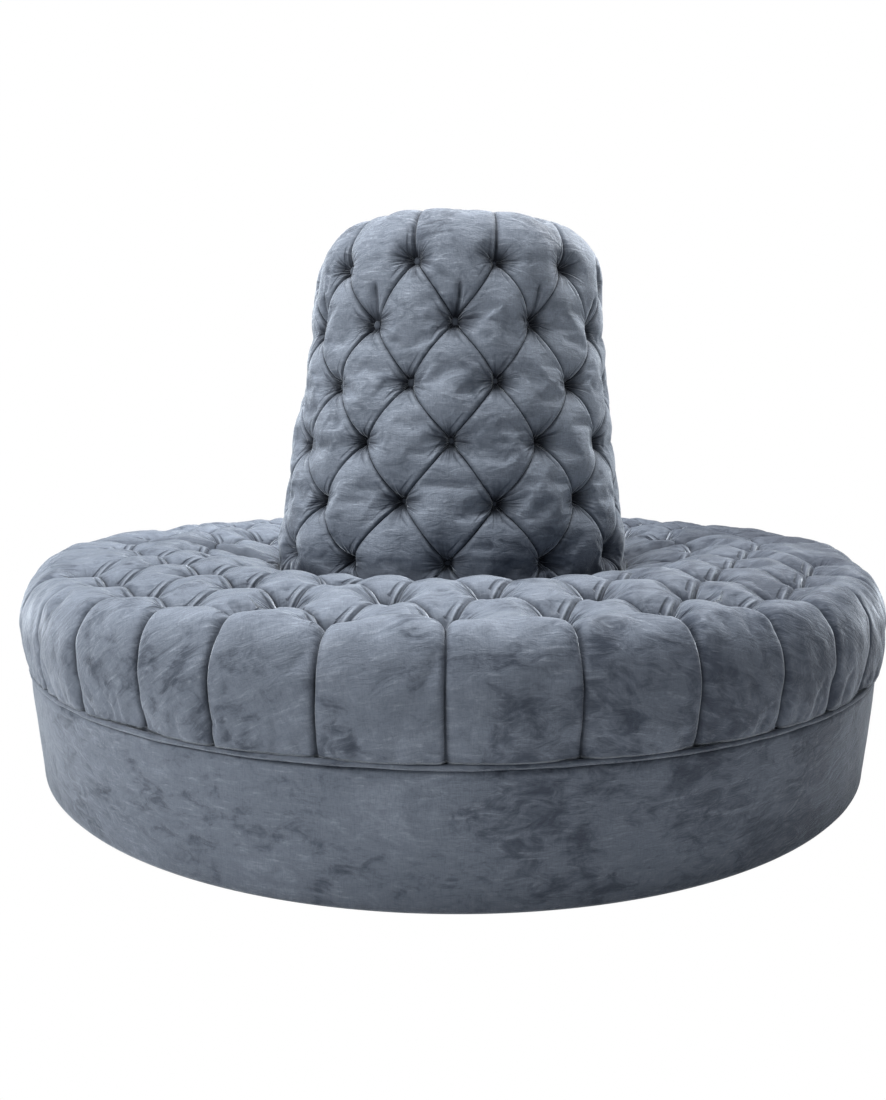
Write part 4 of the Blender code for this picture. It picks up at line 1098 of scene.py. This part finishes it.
def make_piping(half, seed, turned):
    """The covered cord of one half, a little uneven, as sewn cord is."""
    def profile(angle):
        spot = np.array([[*spoke(angle) * PIPING_MIDDLE, 0.0]])
        lift, push, swollen = (lumps(spot, seed + i, PIPING_DRIFT[i:i + 1])[0] for i in range(3))
        centre = np.array([PIPING_CENTRE + push, PIPING_HEIGHT + lift])
        size = PIPING_RADIUS * (1.0 + swollen)
        return [(*(centre + size * spoke(TURN * i / PIPING_SIDES)), i * PIPING_CLOTH_STEP)
                for i in range(PIPING_SIDES)]

    return swept_half(half + "_piping_velvet", PIPING_STATIONS, PIPING_MIDDLE, seed * 0.9, turned, profile)


# Materials


class Nodes:
    """Short ways to add and join the nodes of a material or a world."""

    def __init__(self, owner):
        owner.use_nodes = True
        self.made = owner
        self.tree = owner.node_tree
        self.shader = self.tree.nodes.get("Principled BSDF")

    def add(self, kind, *values, settings=None, **inputs):
        node = self.tree.nodes.new(kind)
        for key, value in (settings or {}).items():
            setattr(node, key, value)
        for key, value in (*enumerate(values), *inputs.items()):
            self.put(node, key, value)
        return node

    def put(self, node, key, value):
        socket = node.inputs[key.replace("_", " ") if isinstance(key, str) else key]
        if isinstance(value, bpy.types.NodeSocket):
            self.tree.links.new(value, socket)
        else:
            socket.default_value = (*value, 1.0) if socket.type == "RGBA" else value

    def math(self, operation, *values):
        return self.add("ShaderNodeMath", *values, settings={"operation": operation}).outputs[0]

    def vector(self, operation, *values):
        return self.add("ShaderNodeVectorMath", *values, settings={"operation": operation}).outputs[0]

    def times(self, first, *factors):
        for factor in factors:
            first = self.math("MULTIPLY", first, factor)
        return first

    def line(self, value, slope, start):
        return self.math("MULTIPLY_ADD", value, slope, start)

    def total(self, *terms):
        added = 0.0
        for value, share in terms:
            added = self.line(value, share, added)
        return added

    def attribute(self, name, output="Fac"):
        return self.add("ShaderNodeAttribute", settings={"attribute_name": name}).outputs[output]

    def place(self):
        return self.add("ShaderNodeTexCoord").outputs["Object"]

    def parts(self, vector):
        return self.add("ShaderNodeSeparateXYZ", vector).outputs

    def noise(self, vector, scale, detail=3.0, roughness=0.55, distortion=0.0):
        inputs = {"Scale": scale, "Detail": detail, "Roughness": roughness, "Distortion": distortion}
        return self.add("ShaderNodeTexNoise", vector, **inputs).outputs["Fac"]

    def stretched(self, vector, scales, *rest):
        return self.noise(self.vector("MULTIPLY", vector, scales), 1.0, *rest)

    def ramp(self, value, low, high):
        settings = {"interpolation_type": "SMOOTHSTEP"}
        return self.add("ShaderNodeMapRange", value, low, high, settings=settings).outputs[0]

    def mix(self, share, first, second):
        node = self.add("ShaderNodeMix", share, settings={"data_type": "RGBA"})
        self.put(node, 6, first)
        self.put(node, 7, second)
        return node.outputs[2]

    def layered(self, base, *layers):
        """Lays colours over a base, each with its share and strength."""
        for share, strength, tone in layers:
            base = self.mix(self.times(share, strength), base, tone)
        return base

    def finish(self, base, roughness, height, **more):
        """Joins up the shader and gives the material."""
        bump = self.add("ShaderNodeBump", Strength=1.0, Distance=1.0, Height=height).outputs["Normal"]
        for key, value in {"Base_Color": base, "Roughness": roughness, "Normal": bump, **more}.items():
            self.put(self.shader, key, value)
        return self.made


def new_look(name):
    """Nodes of a new material."""
    return Nodes(bpy.data.materials.new(name))


def tuft_wrinkles(n, near):
    """Ridges and troughs that run to the buttons: the ridges' bump, and the painted shade in the troughs."""
    across, up, label = n.parts(n.attribute("tuft", "Vector"))
    ray = n.vector("NORMALIZE", n.add("ShaderNodeCombineXYZ", across, up).outputs[0])
    lifted = n.add("ShaderNodeCombineXYZ", Z=n.times(label, 17.0)).outputs[0]
    noise = n.noise(n.vector("MULTIPLY_ADD", ray, (2.3, 3.6, 0.0), lifted), 1.0, 2.0, 0.6)
    side = n.line(n.math("ABSOLUTE", n.parts(ray)[0]), 0.7, 0.3)
    reach = n.times(n.ramp(near, 0.014, 0.050), n.ramp(near, 0.0745, 0.062), side)
    return n.times(n.ramp(noise, 0.40, 0.62), reach), n.times(n.ramp(noise, 0.47, 0.36), reach)


def velvet():
    """Blue-grey crushed velvet: fine lines along the cloth, wrinkles that run to the buttons, and painted
    shade and painted highlights in its colour.
    """
    n = new_look("crushed_velvet")
    cloth, place = n.attribute("cloth", "Vector"), n.place()
    x, _, z = n.parts(place)
    cloud = n.noise(place, 2.3, 3.0, 0.5, 0.3)
    blotch = n.noise(place, 9.0, 5.0, 0.66, 0.6)
    patch = n.stretched(cloth, (22.0, 44.0, 22.0), 5.0, 0.66, 0.9)
    streak = n.stretched(cloth, (26.0, 190.0, 1.0), 4.0, 0.62, 0.5)
    thread = n.stretched(cloth, (150.0, 1000.0, 1.0), 2.0, 0.5)
    weft = n.stretched(cloth, (1000.0, 90.0, 1.0), 2.0, 0.5)
    pile = n.noise(place, 900.0, 2.0, 0.6)

    # Painted shade and light: darker to the right, on the rim's upright side and at its far right end, and
    # paler on the cone, more so to its right
    low = n.ramp(z, 0.55, 0.45)
    high = n.math("SUBTRACT", 1.0, low)
    painted_right_shade = n.times(n.ramp(n.line(cloud, 1.1, x), 0.32, 1.30), low)
    painted_rim_side_shade = n.times(n.ramp(z, 0.408, 0.378), n.ramp(x, -1.1, 0.1))
    # painted shade at the seat's far right end
    end = n.times(n.ramp(x, 0.66, 0.90), n.ramp(z, 0.225, 0.245), low)
    # painted light: the cone paler, more so to its right and less at its top
    lifted = n.times(n.line(n.ramp(x, -0.02, 0.30), 0.33, 0.18), n.ramp(z, 1.15, 0.98))
    # crushed mottle, darkened a little to the right by the painted shade
    crushed = n.total((patch, 0.45), (blotch, 0.55), (low, 0.020), (painted_right_shade, -0.085))
    light = n.times(n.ramp(streak, 0.50, 0.74), n.ramp(patch, 0.42, 0.62), n.line(painted_right_shade, -0.65, 1.0))
    fleck = n.ramp(n.total((weft, 0.5), (thread, 0.5)), 0.56, 0.40)

    # Tufts: wrinkles and ridges beside the folds, with a painted highlight on the ridges, and painted shade
    # in the wrinkles' troughs, the hollows, a groove beside each fold, the creases and the pits
    near, fold = n.attribute("button"), n.attribute("fold")
    wrinkle, painted_trough_shade = tuft_wrinkles(n, near)
    side = n.ramp(n.attribute("side"), 0.2, 0.9)
    along = n.times(n.ramp(near, 0.004, 0.032), n.ramp(near, 0.070, 0.060), side)
    # a ridge beside each fold, bumped and painted as a highlight
    ridge_and_painted_highlight = n.times(n.ramp(fold, 0.0180, 0.0212), n.ramp(fold, 0.0248, 0.0216), along)
    # a groove beside each fold, bumped and painted in shade
    second = n.times(n.ramp(fold, 0.0118, 0.0148), n.ramp(fold, 0.0182, 0.0152), along)
    painted_hollow_shade = n.times(n.ramp(near, 0.026, 0.062), n.line(high, 0.12, 0.60))
    painted_hollow_shade = n.math("MAXIMUM", painted_hollow_shade, n.times(n.ramp(fold, 0.0170, 0.0280), 0.45))
    painted_hollow_shade = n.math("MAXIMUM", painted_hollow_shade, n.attribute("shade"))
    # how dark the creases are painted in shade, patchy along them
    crease_shade_strength = n.line(n.ramp(n.noise(place, 13.0, 2.0), 0.42, 0.58), 0.45, 0.50)
    painted_pit_shade = n.ramp(near, n.line(high, -0.005, 0.052), 0.068)

    painted_shade_colour = (0.020, 0.024, 0.036)
    base = n.layered(
        (0.138, 0.160, 0.197),
        (n.ramp(crushed, 0.53, 0.36), 1.0, (0.042, 0.052, 0.071)),
        (n.ramp(crushed, 0.54, 0.68), 0.60, (0.220, 0.250, 0.300)),
        # painted shade, darker to the right
        (painted_right_shade, 0.44, painted_shade_colour),
        # painted light on the cone
        (high, lifted, (0.290, 0.330, 0.385)),
        (light, n.line(high, 0.42, 0.55), (0.290, 0.325, 0.378)),
        (fleck, 0.30, (0.050, 0.062, 0.086)),
        # painted shade on the rim's upright side
        (painted_rim_side_shade, 0.25, painted_shade_colour),
        # painted shade at the seat's far right end
        (end, 0.48, painted_shade_colour),
        # painted shade in the troughs between the wrinkles
        (painted_trough_shade, 0.85, (0.014, 0.018, 0.028)),
        # painted shade in the hollows round the buttons and beside the folds, and where the shade attribute
        # asks for it
        (painted_hollow_shade, 1.0, (0.016, 0.020, 0.030)),
        # painted highlight on the ridge beside each fold
        (ridge_and_painted_highlight, 0.38, (0.300, 0.335, 0.390)),
        # painted shade in the groove beside each fold
        (second, 0.78, (0.024, 0.030, 0.043)),
        # painted shade in the creases
        (n.ramp(fold, 0.0245, 0.0290), crease_shade_strength, (0.007, 0.010, 0.016)),
        # painted shade in the pits
        (painted_pit_shade, 0.92, (0.005, 0.007, 0.012)),
    )
    height = n.total((streak, 0.0009), (pile, 0.00022), (thread, 0.00022), (weft, 0.00018), (patch, 0.0030),
                     (ridge_and_painted_highlight, 0.0022), (second, -0.0024), (wrinkle, 0.0034))
    return n.finish(base, n.line(blotch, 0.2, 0.62), height, Specular_IOR_Level=0.14, Sheen_Weight=0.60,
                    Sheen_Roughness=0.30, Sheen_Tint=(0.82, 0.90, 1.0))


def wood(name, light, dark, grain):
    """Raw board: long grain, fine pores and uneven colour."""
    n = new_look(name)
    place = n.place()
    figure = n.stretched(place, grain, 5.0, 0.62, 1.4)
    pores = n.stretched(place, [9 * scale for scale in grain], 3.0, 0.6)
    base = n.layered(light, (n.ramp(figure, 0.35, 0.65), 1.0, dark),
                     (n.ramp(pores, 0.55, 0.72), 0.4, [0.55 * value for value in dark]))
    return n.finish(base, n.line(figure, 0.25, 0.55), n.total((figure, 0.0005), (pores, 0.0004)))


def foam():
    """Open-cell upholstery foam."""
    n = new_look("open_cell_foam")
    place = n.place()
    cells = n.add("ShaderNodeTexVoronoi", place, Scale=420.0).outputs["Distance"]
    cloud = n.noise(place, 9.0)
    base = n.layered((0.80, 0.74, 0.55), (cloud, 1.0, (0.68, 0.60, 0.40)),
                     (n.ramp(cells, 0.5, 0.1), 1.0, (0.42, 0.36, 0.22)))
    return n.finish(base, n.line(cloud, 0.1, 0.88), n.times(cells, 0.0012))


def lining():
    """Thin black bonded cloth with its pressed dots."""
    n = new_look("black_lining")
    place = n.place()
    dots = n.add("ShaderNodeTexVoronoi", place, Scale=320.0, Randomness=0.15).outputs["Distance"]
    fibres = n.noise(place, 700.0, 4.0, 0.7)
    base = n.layered((0.008, 0.008, 0.009), (n.ramp(dots, 0.15, 0.4), 1.0, (0.030, 0.030, 0.033)),
                     (fibres, 0.4, (0.045, 0.045, 0.048)))
    return n.finish(base, n.line(fibres, 0.15, 0.80), n.total((dots, 0.0004), (fibres, 0.0002)))


def nylon():
    """Black moulded nylon, scuffed."""
    n = new_look("black_nylon")
    place = n.place()
    scuffs = n.stretched(place, (40.0, 260.0, 40.0), 4.0, 0.6, 0.5)
    base = n.layered((0.035, 0.035, 0.038), (n.ramp(scuffs, 0.55, 0.75), 1.0, (0.085, 0.085, 0.090)))
    return n.finish(base, n.line(scuffs, 0.25, 0.35), n.times(n.noise(place, 1400.0), 0.00008))


def steel():
    """Zinc-plated steel, spangled and a little dull."""
    n = new_look("zinc_steel")
    place = n.place()
    cloud = n.noise(place, 160.0, 4.0)
    base = n.mix(cloud, (0.66, 0.66, 0.68), (0.48, 0.47, 0.46))
    turning = n.stretched(place, (60.0, 60.0, 2600.0), 2.0)
    return n.finish(base, n.line(cloud, 0.25, 0.22), n.times(turning, 0.00006), Metallic=1.0)


def dress_solids():
    """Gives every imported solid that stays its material."""
    looks = {
        "plywood": wood("birch_plywood", (0.66, 0.50, 0.31), (0.50, 0.34, 0.18), (3.0, 38.0, 160.0)),
        "timber": wood("planed_softwood", (0.72, 0.54, 0.33), (0.56, 0.37, 0.19), (42.0, 42.0, 2.2)),
        "foam": foam(),
        "lining": lining(),
        "nylon": nylon(),
        "steel": steel(),
    }
    for part in frame["record"]["subparts"]:
        if part["material_slot"] in looks:
            for slot in frame["nodes"][part["node"]].material_slots:
                slot.material = looks[part["material_slot"]]


# Stage, lights and camera


def white_to_camera(n, kind, lit, output):
    """Shows plain white to the camera and through metal or glass, and the lit shader to the rest."""
    path = n.add("ShaderNodeLightPath").outputs
    seen = n.math("MAXIMUM", path["Is Camera Ray"], path["Is Glossy Ray"])
    seen = n.math("MAXIMUM", seen, path["Is Transmission Ray"])
    white = n.add(kind, Color=(1.0, 1.0, 1.0)).outputs[0]
    n.put(output, "Surface", n.add("ShaderNodeMixShader", seen, lit.outputs[0], white).outputs[0])


def make_stage():
    """A plain pale floor that the camera sees as white."""
    size = 30.0
    corners = [(x * size, y * size, 0.0) for x, y in ((-1, -1), (1, -1), (1, 1), (-1, 1))]
    floor = mesh_object("floor", corners, [[0, 1, 2, 3]])
    n = new_look("pale_floor")
    n.put(n.shader, "Base Color", (0.80, 0.80, 0.80))
    n.put(n.shader, "Roughness", 0.9)
    white_to_camera(n, "ShaderNodeEmission", n.shader, n.tree.nodes["Material Output"])
    floor.data.materials.append(n.made)


def make_world():
    """Even pale surroundings, white to the camera."""
    n = Nodes(bpy.data.worlds.new("studio"))
    bpy.context.scene.world = n.made
    n.tree.nodes.clear()
    pale = n.add("ShaderNodeBackground", Color=(0.93, 0.96, 1.0), Strength=0.25)
    white_to_camera(n, "ShaderNodeBackground", pale, n.add("ShaderNodeOutputWorld"))


def make_lights():
    """Soft square lamps: one to the left and a little in front, one overhead, one to the right."""
    lamps = (
        ("key", (-2.9, -1.3, 2.0), (0.0, 0.0, 0.4), 1.1, 82.0),
        ("top", (-0.4, -0.3, 4.6), (0.0, 0.0, 0.4), 1.4, 314.0),
        ("side", (1.6, 0.9, 3.0), (0.2, 0.0, 0.9), 1.2, 95.0),
    )
    for name, place, target, size, power in lamps:
        lamp = bpy.data.lights.new(name, "AREA")
        lamp.size = size
        lamp.energy = power
        made = add_object(name, lamp)
        made.location = place
        made.rotation_euler = (Vector(target) - Vector(place)).to_track_quat("-Z", "Y").to_euler()


def make_camera():
    """The photograph's camera, worked out from the tufts, the plinth and the outlines."""
    camera = bpy.data.cameras.new("camera")
    camera.lens = 26.296
    camera.sensor_width = 36.0
    camera.clip_end = 100.0
    made = bpy.context.scene.camera = add_object("camera", camera)
    made.location = (-0.1808, -1.9687, 0.6524)
    made.rotation_euler = (HALF_TURN / 2 - 0.1233, 0.0, -0.0810)


def place_piece(piece, look, *nodes):
    """Gives a piece its material and its body, and hides the solids that it stands for."""
    piece.data.materials.append(look)
    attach(piece, "root")
    if nodes:
        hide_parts(*nodes)


def main():
    """Dresses the settee."""
    make_camera()
    make_lights()
    make_world()
    make_stage()
    bpy.context.scene.view_settings.view_transform = "Standard"
    dress_solids()
    look = velvet()
    for half, cover, buttons in make_seats():
        place_piece(cover, look, half + "_seat_cover")
        place_piece(buttons, look)
    cover, buttons, centre = make_cone()
    place_piece(cover, look, "cone_cover")
    place_piece(buttons, look)
    up = Vector((0.0, 0.0, 1.0))
    crown = buttons_on("cone_crown_button", [(centre + up * CROWN_RISE, up)], CROWN_RADIUS, CROWN_HEIGHT, 0.0)
    place_piece(crown, look, "cone_top_button")
    for half, seed, turned in zip(("front", "back"), BASE_SEEDS, (False, True)):
        place_piece(make_plinth(half, seed, turned), look, half + "_base_cover")
        place_piece(make_piping(half, seed, turned), look, half + "_piping")


main()
